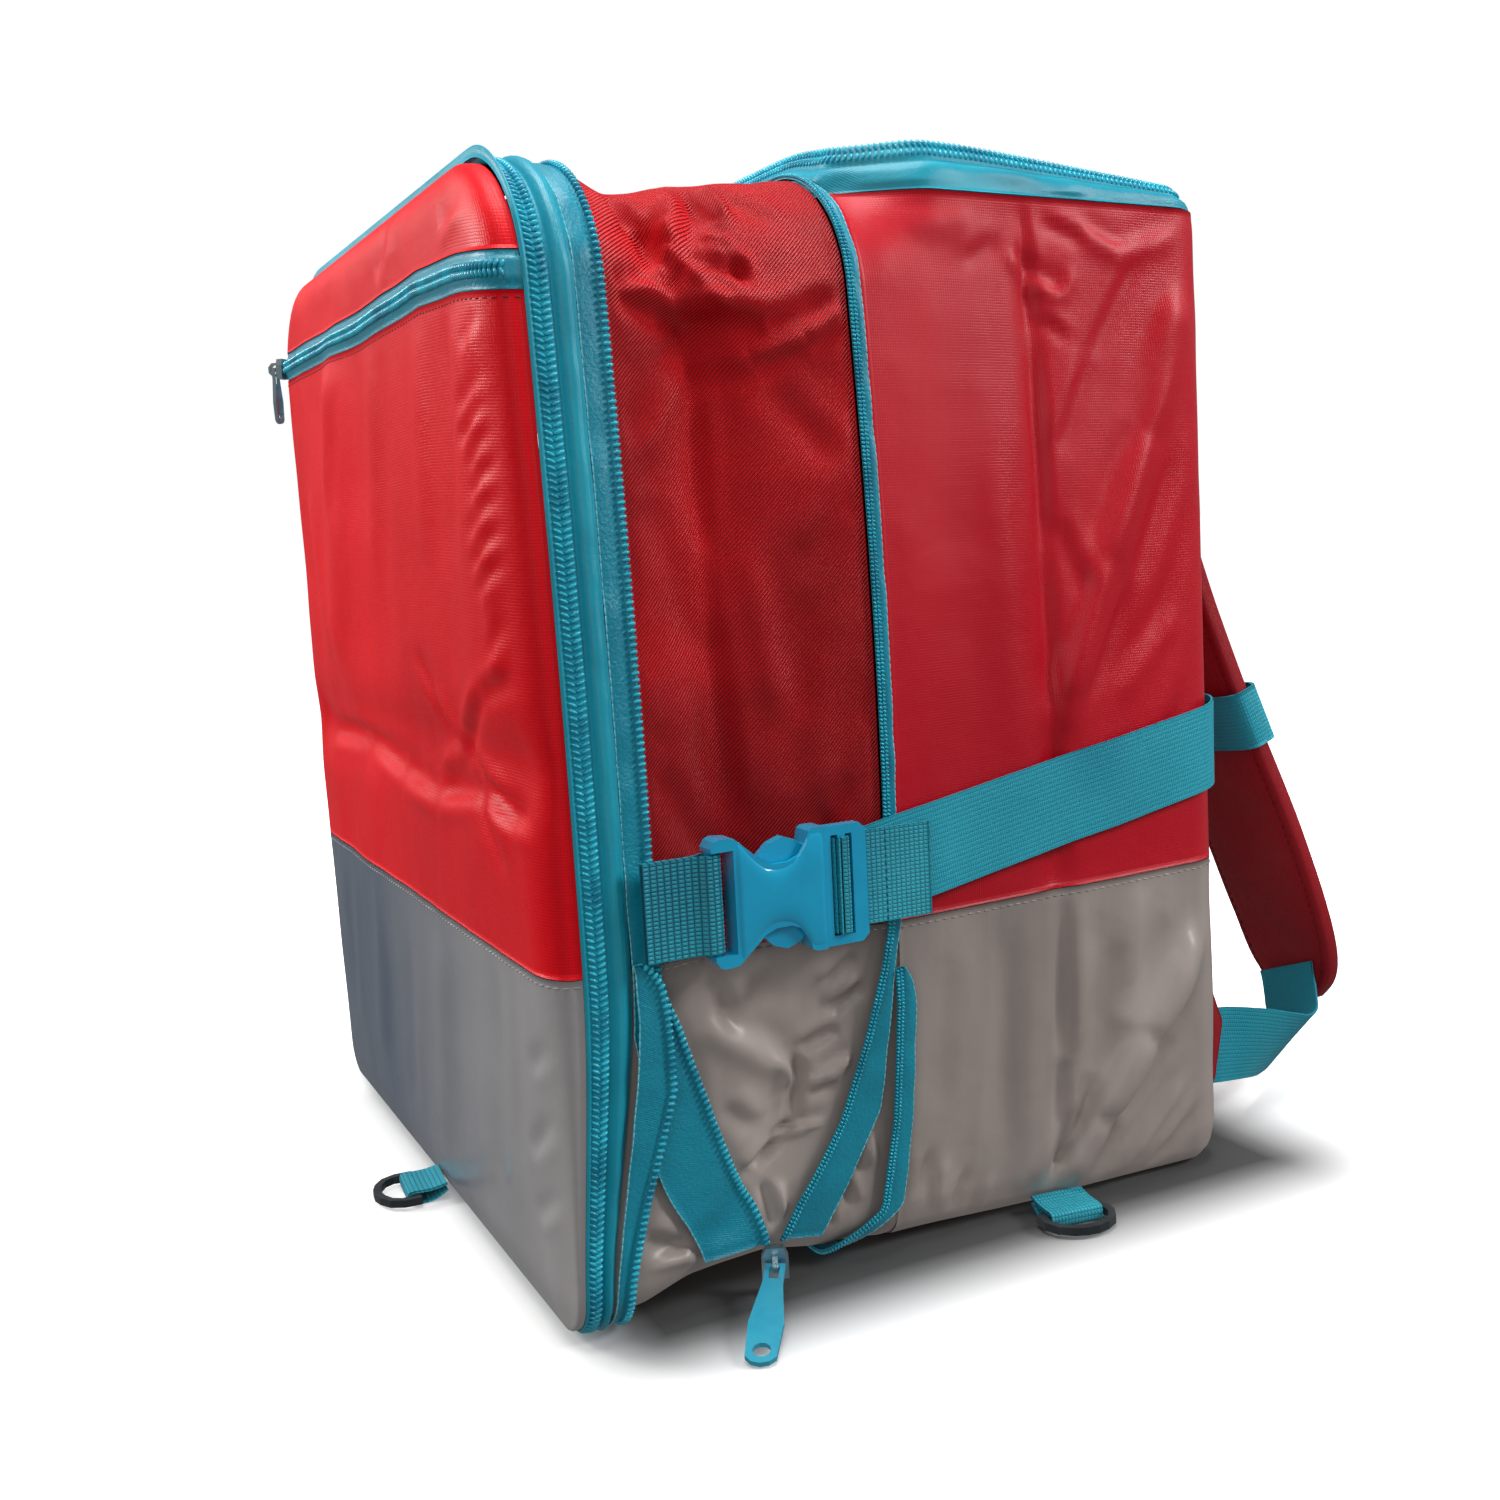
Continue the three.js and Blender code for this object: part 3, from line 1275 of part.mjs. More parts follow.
function pullPlate(length, width, thick) {
  const neck = width * 0.58;
  const endBar = thick / 2;
  const outline = [
    new THREE.Vector2(-endBar, -neck / 2),
    new THREE.Vector2(length * 0.18, -neck / 2),
    new THREE.Vector2(length * 0.6, -width / 2),
    ...[-60, -30, 0, 30, 60].map((angle) => {
      const turn = THREE.MathUtils.degToRad(angle);
      const [along, across] = [Math.cos(turn) * width, Math.sin(turn) * width];
      return new THREE.Vector2(length + (along - width) / 2, across / 2);
    }),
    new THREE.Vector2(length * 0.6, width / 2),
    new THREE.Vector2(length * 0.18, neck / 2),
    new THREE.Vector2(-endBar, neck / 2),
  ];
  const eye = boxOutline(endBar, archInner + archThick + 2 * thick, archWidth / 2 + 0.9);
  const plate = extruded(outline, thick, [eye, roundOutline(width * 0.26, 10, length - width / 2)]);
  plate.translate(0, 0, -thick / 2);
  return plate;
}

function axesMatrix(along, across, out, origin) {
  return new THREE.Matrix4().makeBasis(along, across, out).setPosition(origin);
}

// Slider of the open expansion zip at the foot of the V, its pull lying out on the floor
const sliderSize = { length: 13, width: 11, thick: 4.2 };
const smallSlider = { length: 11, width: 8, thick: 3.4 };
const sliderY = yIn(slider.zone, slider.at);
const sliderSpot = soften(new THREE.Vector3(halfWidth, sliderY, slider.height));
const pullRun = new THREE.Vector3(0.82, -0.56, 0).normalize();
const pullAcross = new THREE.Vector3(-pullRun.y, pullRun.x, 0);
const sliderOut = pullRun.clone().multiplyScalar(3).add(new THREE.Vector3(1, 0, 0)).normalize();
const sliderDown = new THREE.Vector3(0, 0, -1);
const sliderAcross = new THREE.Vector3().crossVectors(sliderOut, sliderDown);
const sliderOrigin = new THREE.Vector3(sliderSpot.x + clothStand, sliderY, slider.height * 1.1);
const hingeSpot = sliderOrigin.clone().addScaledVector(sliderOut, sliderSize.thick + archInner);
const expansionSlider = addPiece('expansion_slider', sliderBlock(sliderSize), colours.metal, 0.35, 0.8);
expansionSlider.applyMatrix4(axesMatrix(sliderDown, sliderAcross, sliderOut, sliderOrigin));
const tipDrop = hingeSpot.z - pullThick * 0.9;
const fall = Math.asin(Math.min(0.9, tipDrop / pullLength));
const pullFall = new THREE.Vector3(0, 0, -Math.sin(fall));
const pullDown = pullRun.clone().multiplyScalar(Math.cos(fall)).add(pullFall);
const pullOut = new THREE.Vector3().crossVectors(pullDown, pullAcross);
const expansionPlate = pullPlate(pullLength, pullWidth, pullThick);
const expansionPull = addPiece('expansion_pull', expansionPlate, colours.cyan, 0.35);
expansionPull.applyMatrix4(axesMatrix(pullDown, pullAcross, pullOut, hingeSpot));

// Small slider and hanging pull standing on the bag's skin, its out direction level
function hangingSlider(name, spot, out, sliderColour, pullColour) {
  const down = new THREE.Vector3(0, 0, -1);
  const across = new THREE.Vector3().crossVectors(out, down);
  const origin = spot.clone().addScaledVector(out, gap);
  const block = addPiece(`${name}_slider`, sliderBlock(smallSlider), sliderColour, 0.35, 0.8);
  block.applyMatrix4(axesMatrix(down, across, out, origin));
  const hinge = origin.clone().addScaledVector(out, smallSlider.thick + archInner);
  const shape = pullPlate(smallPullLength, smallPullWidth, pullThick);
  const plate = addPiece(`${name}_pull`, shape, pullColour, 0.35, 0.5);
  plate.applyMatrix4(axesMatrix(down, across, out, hinge));
}

const pocketTurn = THREE.MathUtils.degToRad(50);
const pocketOut = new THREE.Vector3(-Math.cos(pocketTurn), -Math.sin(pocketTurn), 0);
const pocketLevel = 0.911 * bagHeight;
const pocketSkin = ringPoint(
  2 * halfGirth - girthAtHeight(bagHeight - topRadius),
  frontFace + rimRound * (1 - Math.sin(pocketTurn)),
  -faceRadius * (1 - Math.cos(pocketTurn)),
);
const pocketSpot = new THREE.Vector3(pocketSkin.x, pocketSkin.y, pocketLevel).addScaledVector(
  pocketOut,
  chainRise + 0.5,
);
hangingSlider('pocket', pocketSpot, pocketOut, colours.metal, colours.metal);

const frontZipLevel = 0.1 * bagHeight;
const frontZipSkin = ringPoint(
  2 * halfGirth - girthAtHeight(frontZipLevel),
  frontZipStart + 0.33 * frontZipWidth,
  4.4,
);
hangingSlider('front_zip', frontZipSkin, new THREE.Vector3(-1, 0, 0), colours.cyan, colours.cyan);

export default bag;
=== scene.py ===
import math

import bpy
import numpy as np
from mathutils import Matrix, Vector


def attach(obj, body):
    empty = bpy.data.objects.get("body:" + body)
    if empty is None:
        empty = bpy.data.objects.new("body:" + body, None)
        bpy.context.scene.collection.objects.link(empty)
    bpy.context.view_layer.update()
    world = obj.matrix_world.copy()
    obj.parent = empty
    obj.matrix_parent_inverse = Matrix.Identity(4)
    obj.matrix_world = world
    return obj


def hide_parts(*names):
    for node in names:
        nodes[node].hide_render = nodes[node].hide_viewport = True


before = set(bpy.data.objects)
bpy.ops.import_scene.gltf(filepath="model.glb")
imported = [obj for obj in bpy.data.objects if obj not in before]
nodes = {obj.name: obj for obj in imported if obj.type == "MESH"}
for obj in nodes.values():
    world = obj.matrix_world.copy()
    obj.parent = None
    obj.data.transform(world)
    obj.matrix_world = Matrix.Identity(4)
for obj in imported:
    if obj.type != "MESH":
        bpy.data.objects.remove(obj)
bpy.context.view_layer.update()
print("frame loaded:", len(nodes), "nodes")

# Camera and light
camera = {
    "place": (0.7469, -0.3452, 0.3104),
    "right": (0.44554, 0.89373, -0.05239),
    "up": (-0.10318, 0.10939, 0.98863),
    "focalPixels": 1588.3,
    "framePixels": 1500,
}
lights = {
    "world": 0.2,
    "front": {"place": (-1.7, -1.9, 1.5), "size": 0.8, "power": 52, "tint": (1, 0.99, 0.97)},
    "side": {"place": (1.35, 1.7, 1.5), "size": 0.7, "power": 31, "tint": (0.98, 0.99, 1)},
    "top": {"place": (0.1, -0.1, 2.3), "size": 1.1, "power": 40, "tint": (1, 1, 1)},
    "fill": {"place": (1.6, -1.3, 1.0), "size": 1.3, "power": 9, "tint": (1, 1, 1)},
}


def makeCamera():
    data = bpy.data.cameras.new("camera")
    data.sensor_width = 36
    data.lens = 36 * camera["focalPixels"] / camera["framePixels"]
    data.clip_start = 0.02
    eye = bpy.data.objects.new("camera", data)
    bpy.context.scene.collection.objects.link(eye)
    right, up = Vector(camera["right"]).normalized(), Vector(camera["up"]).normalized()
    back = right.cross(up).normalized()
    up = back.cross(right).normalized()
    turn = Matrix((right, up, back)).transposed().to_4x4()
    eye.matrix_world = Matrix.Translation(Vector(camera["place"])) @ turn
    bpy.context.scene.camera = eye


def makeLights():
    world = bpy.data.worlds.new("studio")
    bpy.context.scene.world = world
    world.use_nodes = True
    world.node_tree.nodes["Background"].inputs["Color"].default_value = (1, 1, 1, 1)
    world.node_tree.nodes["Background"].inputs["Strength"].default_value = lights["world"]
    for name in ("front", "side", "top", "fill"):
        row = lights[name]
        data = bpy.data.lights.new(name, "AREA")
        data.size = row["size"]
        data.energy = row["power"]
        data.color = row["tint"]
        lamp = bpy.data.objects.new(name, data)
        bpy.context.scene.collection.objects.link(lamp)
        lamp.location = row["place"]
        lamp.rotation_euler = (Vector((0, 0, 0.2)) - lamp.location).to_track_quat("-Z", "Y").to_euler()


makeCamera()
makeLights()
bpy.context.scene.view_settings.view_transform = "Standard"
print("camera and light ready")

# The bag's block form, in millimetres, as the solids have it
bag = {
    "width": 380, "height": 450, "seam": 147,
    "topRadius": 50, "footRadius": 18, "faceRadius": 18, "backRadius": 22,
    "frontFace": -167.5, "rimEnd": -154.45, "bodyStart": -16.35, "backFace": 167.5,
    "wallTop": 440, "lidCrest": 463, "lidBackDrop": 19, "lidCorner": 14, "lidZip": 22,
}
zones = {
    "rim": (-167.5, -154.5), "frontZip": (-154.5, -135.5), "openZipFront": (-135.5, -123.5),
    "gusset": (-123.5, -23.5), "openZipBack": (-23.5, -16.5), "body": (-16.5, 167.5),
}
halfWidth = bag["width"] / 2
footFlat = halfWidth - bag["footRadius"]
footArc = bag["footRadius"] * math.pi / 2
sideRun = bag["height"] - bag["footRadius"] - bag["topRadius"]
topArc = bag["topRadius"] * math.pi / 2
topFlat = halfWidth - bag["topRadius"]
halfGirth = footFlat + footArc + sideRun + topArc + topFlat


def yIn(zone, share):
    low, high = zones[zone]
    return low + (high - low) * share


# zone, share, flare, tuck, bulge, sag, lift, kick
sectionRows = [
    ("rim", 0, 0.036, -0.026, 0.014, 0, 0.0085, 0),
    ("rim", 1, 0.038, -0.022, 0.02, 0, 0.0085, -0.05),
    ("frontZip", 0.5, 0.036, -0.02, 0.021, 0, 0.0085, -0.072),
    ("openZipFront", 0, 0.034, -0.012, 0.021, 0, 0.0095, -0.1),
    ("openZipFront", 0.7, 0.032, -0.01, 0.021, 0, 0.0105, -0.125),
    ("gusset", 0.2, 0.026, -0.005, 0.017, 0.02, 0.026, -0.05),
    ("gusset", 0.45, 0.016, 0, 0.02, 0.012, 0.024, 0),
    ("gusset", 0.8, 0.012, 0, 0.03, 0.006, 0.012, 0),
    ("openZipBack", 0.5, 0.01, 0, 0.037, 0, 0.006, 0),
    ("body", 0.45, 0.014, 0, 0.024, 0, 0, 0),
    ("body", 1, 0.024, 0.008, 0.004, 0, 0, 0),
]
sectionY = np.array([yIn(row[0], row[1]) for row in sectionRows])
sectionValues = np.array([row[2:] for row in sectionRows], float)

# Large folds of the near side: y1, z1, y2, z2, reach, depth
sideFolds = [
    (yIn("gusset", 0.38), 369, yIn("gusset", 0.3), 162, 13.5, 7.2),
    (yIn("gusset", 0.22), 427.5, yIn("gusset", 0.34), 378, 11.7, 7.2),
    (yIn("gusset", 0.3), 405, yIn("gusset", 0.75), 387, 11.7, -3.6),
    (yIn("gusset", 0.28), 27, yIn("gusset", 0.72), 117, 9.9, 3.6),
    (yIn("body", 0.45), 405, yIn("body", 0.45), 153, 8.1, 3.15),
    (yIn("body", 0.48), 225, yIn("body", 0.86), 387, 11.7, -3.6),
    (yIn("body", 0.45), 18, yIn("body", 0.85), 108, 9.9, -4.5),
]
# Large folds of the front: x1, z1, x2, z2, reach, depth
frontFolds = [
    (-159.6, 213.75, 171, 222.75, 15.75, 5.4),
    (-95, 270, -57, 382.5, 22.5, -3.6),
    (142.5, 225, 161.5, 378, 22.5, -2.7),
]


def smooth(low, high, value):
    share = np.clip((value - low) / (high - low), 0, 1)
    return share * share * (3 - 2 * share)


def sectionsAt(y):
    after = np.clip(np.searchsorted(sectionY, y, side="right"), 1, len(sectionY) - 1)
    share = smooth(sectionY[after - 1], sectionY[after], y)[..., None]
    return sectionValues[after - 1] * (1 - share) + sectionValues[after] * share


def foldDepth(folds, a, b):
    depth = np.zeros_like(a)
    for a1, b1, a2, b2, reach, deep in folds:
        runA, runB = a2 - a1, b2 - b1
        along = np.clip(((a - a1) * runA + (b - b1) * runB) / (runA ** 2 + runB ** 2), 0, 1)
        away = np.hypot(a - a1 - along * runA, b - b1 - along * runB)
        depth += deep * np.exp(-((away / reach) ** 2))
    return depth


def softened(points):
    points = np.asarray(points, float)
    x, y, z = points[..., 0], points[..., 1], points[..., 2]
    flare, tuck, bulge, sag, lift, kick = np.moveaxis(sectionsAt(y), -1, 0)
    high = np.clip(z / bag["height"], 0, 1)
    side = smooth(0.3, 0.95, 2 * np.abs(x) / bag["width"]) * np.sign(x)
    spread = np.where(x > 0, flare, tuck)
    swell = bag["width"] * (bulge * np.sin(math.pi * high) + spread * (1 - high))
    fold = np.where(x > 0, foldDepth(sideFolds, y, z), 0)
    face = 1 - smooth(bag["frontFace"] + 5.2, bag["frontFace"] + 13, y)
    moved = points.copy()
    moved[..., 0] += side * (swell - fold)
    moved[..., 1] += kick * bag["seam"] * (1 - smooth(0, bag["seam"], z))
    moved[..., 1] += face * foldDepth(frontFolds, x, z)
    moved[..., 2] += bag["height"] * lift * (1 - smooth(0, 0.14, high))
    moved[..., 2] -= bag["height"] * sag * smooth(0.8, 1, high)
    return moved


def outlineAt(girth, out):
    wrapped = np.mod(girth, 2 * halfGirth)
    far = wrapped > halfGirth
    run = np.where(far, 2 * halfGirth - wrapped, wrapped)
    foot, top = bag["footRadius"], bag["topRadius"]
    turn = np.clip(run - footFlat, 0, footArc) / foot
    bend = np.clip(run - footFlat - footArc - sideRun, 0, topArc) / top
    x = np.where(run < footFlat, run, footFlat + (foot + out) * np.sin(turn))
    z = foot - (foot + out) * np.cos(turn)
    z = np.where(run < footFlat, -out, z)
    z = np.where(run > footFlat + footArc, foot + np.minimum(run - footFlat - footArc, sideRun), z)
    over = run > footFlat + footArc + sideRun
    x = np.where(over, topFlat + (top + out) * np.cos(bend), x)
    z = np.where(over, bag["height"] - top + (top + out) * np.sin(bend), z)
    rest = np.maximum(run - (halfGirth - topFlat), 0)
    x = np.where(rest > 0, topFlat - rest, x)
    return np.where(far, -x, x), z


def ringPoints(girth, y, out):
    girth, y, out = np.broadcast_arrays(*(np.asarray(v, float) for v in (girth, y, out)))
    x, z = outlineAt(girth, out)
    return softened(np.stack([x, y, z], -1))


def girthAtHeight(z):
    if z >= bag["footRadius"]:
        return footFlat + footArc + z - bag["footRadius"]
    return footFlat + bag["footRadius"] * math.acos(1 - z / bag["footRadius"])


# Small helpers for surfaces
def noise(a, b, size, seed):
    table = np.random.default_rng(seed).uniform(-1, 1, (61, 61))
    x, y = np.asarray(a, float) / size, np.asarray(b, float) / size
    ix, iy = np.floor(x).astype(int), np.floor(y).astype(int)
    fx, fy = x - ix, y - iy
    fx, fy = fx * fx * (3 - 2 * fx), fy * fy * (3 - 2 * fy)
    i0, i1, j0, j1 = ix % 61, (ix + 1) % 61, iy % 61, (iy + 1) % 61
    low = table[i0, j0] * (1 - fx) + table[i1, j0] * fx
    high = table[i0, j1] * (1 - fx) + table[i1, j1] * fx
    return low * (1 - fy) + high * fy


def gridNormals(grid, closed=False):
    if closed:
        du = np.roll(grid, -1, 0) - np.roll(grid, 1, 0)
    else:
        du = np.gradient(grid, axis=0)
    dv = np.gradient(grid, axis=1)
    normal = np.cross(du, dv)
    size = np.linalg.norm(normal, axis=-1, keepdims=True)
    return normal / np.maximum(size, 1e-9)


# Each row is a valley along a line with a lower ridge on its left, and the other way round below 0
def wrinkles(rows, a, b):
    height = np.zeros(np.broadcast(a, b).shape)
    for a1, b1, a2, b2, reach, depth in rows:
        runA, runB = a2 - a1, b2 - b1
        along = ((a - a1) * runA + (b - b1) * runB) / (runA ** 2 + runB ** 2)
        held = np.clip(along, 0, 1)
        away = np.hypot(a - a1 - held * runA, b - b1 - held * runB)
        fade = 1 - np.clip(2 * held - 1, -1, 1) ** 4 * 0.85
        side = ((b - b1) * runA - (a - a1) * runB) / math.hypot(runA, runB)
        beside = np.hypot(side - 1.7 * reach, (along - held) * math.hypot(runA, runB))
        height -= depth * fade * np.exp(-((away / reach) ** 2))
        height += 0.55 * depth * fade * np.exp(-((beside / reach) ** 2))
    return height


def meshObject(name, points, faces, uvs=None, scale=0.001):
    mesh = bpy.data.meshes.new(name)
    mesh.from_pydata((np.asarray(points) * scale).tolist(), [], faces)
    mesh.update()
    mesh.polygons.foreach_set("use_smooth", [True] * len(mesh.polygons))
    if uvs is not None:
        layer = mesh.uv_layers.new(name="weave")
        corner = np.zeros(len(mesh.loops), int)
        mesh.loops.foreach_get("vertex_index", corner)
        layer.data.foreach_set("uv", np.asarray(uvs)[corner].ravel())
    piece = bpy.data.objects.new(name, mesh)
    bpy.context.scene.collection.objects.link(piece)
    return piece


def dress(piece, material, body="bag", replaced=()):
    piece.data.materials.clear()
    piece.data.materials.append(material)
    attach(piece, body)
    if replaced:
        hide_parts(*replaced)
    return piece


# A closed shell under a grid of outer points
def shell(name, grid, thick, closed=False, flip=False, cap=False, uvScale=0.01):
    rows, cols = grid.shape[:2]
    normal = gridNormals(grid, closed) * (-1 if flip else 1)
    inner = grid - normal * thick
    points = np.concatenate([grid.reshape(-1, 3), inner.reshape(-1, 3)])
    stepU = np.linalg.norm(np.diff(grid, axis=0), axis=-1).mean(1)
    stepV = np.linalg.norm(np.diff(grid, axis=1), axis=-1).mean(0)
    u = np.concatenate([[0], np.cumsum(stepU)])
    v = np.concatenate([[0], np.cumsum(stepV)])
    uv = np.stack(np.meshgrid(u, v, indexing="ij"), -1).reshape(-1, 2) * uvScale
    index = np.arange(rows * cols).reshape(rows, cols)
    if closed:
        index = np.concatenate([index, index[:1]])
    a, b = index[:-1, :-1].ravel(), index[1:, :-1].ravel()
    c, d = index[1:, 1:].ravel(), index[:-1, 1:].ravel()
    top = np.stack([a, d, c, b] if flip else [a, b, c, d], -1)
    under = top[:, ::-1] + rows * cols
    edges = [index[:, 0][::-1]] if cap else [index[:, 0][::-1], index[:, -1]]
    if not closed:
        edges += [index[0], index[-1][::-1]]
    walls = []
    for edge in edges:
        start, end = edge[:-1], edge[1:]
        wall = np.stack([start, end, end + rows * cols, start + rows * cols], -1)
        walls.append(wall if flip else wall[:, ::-1])
    faces = np.concatenate([top, under, *walls]).tolist()
    if cap:
        last = index[:-1, -1]
        faces += [last.tolist(), (last[::-1] + rows * cols).tolist()]
    return meshObject(name, points, faces, np.concatenate([uv, uv]))


# A smooth line through the points
def smoothPath(points, count):
    points = np.asarray(points, float)
    ends = np.concatenate([[2 * points[0] - points[1]], points, [2 * points[-1] - points[-2]]])
    at = np.linspace(0, len(points) - 1, count)
    i = np.minimum(at.astype(int), len(points) - 2)
    t = (at - i)[:, None]
    p0, p1, p2, p3 = ends[i], ends[i + 1], ends[i + 2], ends[i + 3]
    return 0.5 * (2 * p1 + (p2 - p0) * t + (2 * p0 - 5 * p1 + 4 * p2 - p3) * t ** 2
                  + (3 * p1 - p0 - 3 * p2 + p3) * t ** 3)


def beadShape(around=8, rings=4):
    points = [(0, 0, -1)]
    for i in range(1, rings):
        turn = math.pi * i / rings
        for j in range(around):
            spin = 2 * math.pi * j / around
            reach = math.sin(turn)
            points.append((reach * math.cos(spin), reach * math.sin(spin), -math.cos(turn)))
    points.append((0, 0, 1))
    faces = []
    last = len(points) - 1
    for j in range(around):
        k = (j + 1) % around
        faces.append([0, 1 + k, 1 + j])
        faces.append([last, last - around + j, last - around + k])
        for i in range(rings - 2):
            start = 1 + i * around
            faces.append([start + j, start + k, start + around + k, start + around + j])
    return np.array(points), faces


# Rounded teeth or stitches along a path: size is across, along and out
def beads(path, normal, pitch, size, slant=0.0, shift=0.0, start=0.5):
    path, normal = np.asarray(path, float), np.asarray(normal, float)
    step = np.linalg.norm(np.diff(path, axis=0), axis=-1)
    run = np.concatenate([[0], np.cumsum(step)])
    count = max(int(run[-1] / pitch), 1)
    at = (np.arange(count) + start) * run[-1] / count
    middle = np.stack([np.interp(at, run, path[:, k]) for k in range(3)], -1)
    out = np.stack([np.interp(at, run, normal[:, k]) for k in range(3)], -1)
    tangent = np.gradient(path, axis=0)
    along = np.stack([np.interp(at, run, tangent[:, k]) for k in range(3)], -1)
    along /= np.linalg.norm(along, axis=-1, keepdims=True)
    out -= along * (out * along).sum(-1, keepdims=True)
    out /= np.linalg.norm(out, axis=-1, keepdims=True)
    across = np.cross(out, along)
    leanAcross = across * math.cos(slant) + along * math.sin(slant)
    leanAlong = along * math.cos(slant) - across * math.sin(slant)
    shape, faces = beadShape()
    points = (middle + across * shift)[:, None, :] \
        + leanAcross[:, None, :] * shape[None, :, 2:3] * size[0] \
        + leanAlong[:, None, :] * shape[None, :, 0:1] * size[1] \
        + out[:, None, :] * shape[None, :, 1:2] * size[2]
    offset = len(shape)
    allFaces = [[v + i * offset for v in face] for i in range(count) for face in faces]
    return points.reshape(-1, 3), allFaces


def joinedBeads(name, rows):
    points, faces, total = [], [], 0
    for somePoints, someFaces in rows:
        points.append(somePoints)
        faces += [[v + total for v in face] for face in someFaces]
        total += len(somePoints)
    return meshObject(name, np.concatenate(points), faces)


# Finishes
def newMaterial(name):
    material = bpy.data.materials.new(name)
    material.use_nodes = True
    tree = material.node_tree
    return material, tree, tree.nodes["Principled BSDF"]


def mathNode(tree, kind, first, second=None):
    node = tree.nodes.new("ShaderNodeMath")
    node.operation = kind
    for i, value in enumerate((first, second)):
        if value is None:
            continue
        if isinstance(value, (int, float)):
            node.inputs[i].default_value = value
        else:
            tree.links.new(value, node.inputs[i])
    return node.outputs[0]


def weaveHeight(tree, kind, pitchU, pitchV):
    uv = tree.nodes.new("ShaderNodeUVMap")
    uv.uv_map = "weave"
    split = tree.nodes.new("ShaderNodeSeparateXYZ")
    tree.links.new(uv.outputs[0], split.inputs[0])
    u = mathNode(tree, "MULTIPLY", split.outputs[0], 200 * math.pi / pitchU)
    v = mathNode(tree, "MULTIPLY", split.outputs[1], 200 * math.pi / pitchV)
    if kind == "twill":
        return mathNode(tree, "SINE", mathNode(tree, "ADD", u, v))
    if kind == "ribs":
        return mathNode(tree, "SINE", v)
    first, second = mathNode(tree, "SINE", u), mathNode(tree, "SINE", v)
    if kind == "grid":
        first = mathNode(tree, "POWER", mathNode(tree, "ABSOLUTE", first), 0.5)
        second = mathNode(tree, "POWER", mathNode(tree, "ABSOLUTE", second), 0.5)
        return mathNode(tree, "MINIMUM", first, second)
    return mathNode(tree, "MULTIPLY", first, second)


def noiseNode(tree, scale, detail, stretch=(1, 1, 1)):
    coords = tree.nodes.new("ShaderNodeTexCoord")
    mapping = tree.nodes.new("ShaderNodeMapping")
    mapping.inputs["Scale"].default_value = stretch
    tree.links.new(coords.outputs["Object"], mapping.inputs["Vector"])
    texture = tree.nodes.new("ShaderNodeTexNoise")
    texture.inputs["Scale"].default_value = scale
    texture.inputs["Detail"].default_value = detail
    tree.links.new(mapping.outputs[0], texture.inputs["Vector"])
    return texture.outputs["Fac"]


def rangeNode(tree, value, low, high, toLow, toHigh):
    node = tree.nodes.new("ShaderNodeMapRange")
    for name, number in (("From Min", low), ("From Max", high), ("To Min", toLow), ("To Max", toHigh)):
        node.inputs[name].default_value = number
    tree.links.new(value, node.inputs["Value"])
    return node.outputs[0]


# Places on the piece along x, y and z
def placeNodes(tree):
    coords = tree.nodes.new("ShaderNodeTexCoord")
    split = tree.nodes.new("ShaderNodeSeparateXYZ")
    tree.links.new(coords.outputs["Object"], split.inputs[0])
    return split.outputs


# Either colour is three numbers or another node's colour
def mixNode(tree, share, first, second):
    node = tree.nodes.new("ShaderNodeMix")
    node.data_type = "RGBA"
    tree.links.new(share, node.inputs["Factor"])
    for name, colour in (("A", first), ("B", second)):
        if isinstance(colour, tuple):
            node.inputs[name].default_value = (*colour, 1)
        else:
            tree.links.new(colour, node.inputs[name])
    return node.outputs["Result"]


def bumpNode(tree, height, strength, distance, under=None):
    node = tree.nodes.new("ShaderNodeBump")
    node.inputs["Strength"].default_value = strength
    node.inputs["Distance"].default_value = distance
    tree.links.new(height, node.inputs["Height"])
    if under is not None:
        tree.links.new(under, node.inputs["Normal"])
    return node.outputs[0]


def clothFinish(name, look):
    material, tree, shader = newMaterial(name)
    stretch = look.get("stretch", (1, 1, 1))
    # Random blotches of tone; in the greys they are stretched into vertical streaks that are painted sheen
    blotchAndSheenStreak = noiseNode(tree, look.get("blotchAndSheenStreak", 9), 4, stretch)
    weave = weaveHeight(tree, look["weave"], *look["pitch"])
    lowest = 0 if look["weave"] == "grid" else -1
    tone = mathNode(tree, "ADD", rangeNode(tree, blotchAndSheenStreak, 0.35, 0.65, 0, look.get("blotchesAndSheenStreaks", 0.5)),
                    rangeNode(tree, weave, lowest, 1, look.get("weaveShade", 0.25), 0))
    colour = mixNode(tree, tone, look["colour"], look["shade"])
    # Painted reflection: along x the colour turns into a darker one, so one side looks lit and the other
    # shaded
    if "fade" in look:
        reflectionFadeShare = rangeNode(tree, placeNodes(tree)[0], *look["fade"], 0, 1)
        colour = mixNode(tree, reflectionFadeShare, colour, look["fadeColour"])
    tree.links.new(colour, shader.inputs["Base Color"])
    rough = rangeNode(tree, noiseNode(tree, 30, 3, stretch), 0.3, 0.7, *look["rough"])
    tree.links.new(rough, shader.inputs["Roughness"])
    weaveBump = bumpNode(tree, weave, look["bump"], look.get("depth", 0.0003))
    dents = noiseNode(tree, look.get("dentScale", 45), 3)
    softBump = bumpNode(tree, dents, look.get("dent", 0.25), look.get("dentDepth", 0.002), weaveBump)
    tree.links.new(softBump, shader.inputs["Normal"])
    shader.inputs["Specular IOR Level"].default_value = look.get("specular", 0.35)
    shader.inputs["Coat Weight"].default_value = look.get("coat", 0)
    shader.inputs["Coat Roughness"].default_value = look.get("coatRough", 0.3)
    shader.inputs["Sheen Weight"].default_value = look.get("sheen", 0)
    return material


wearScale = 60


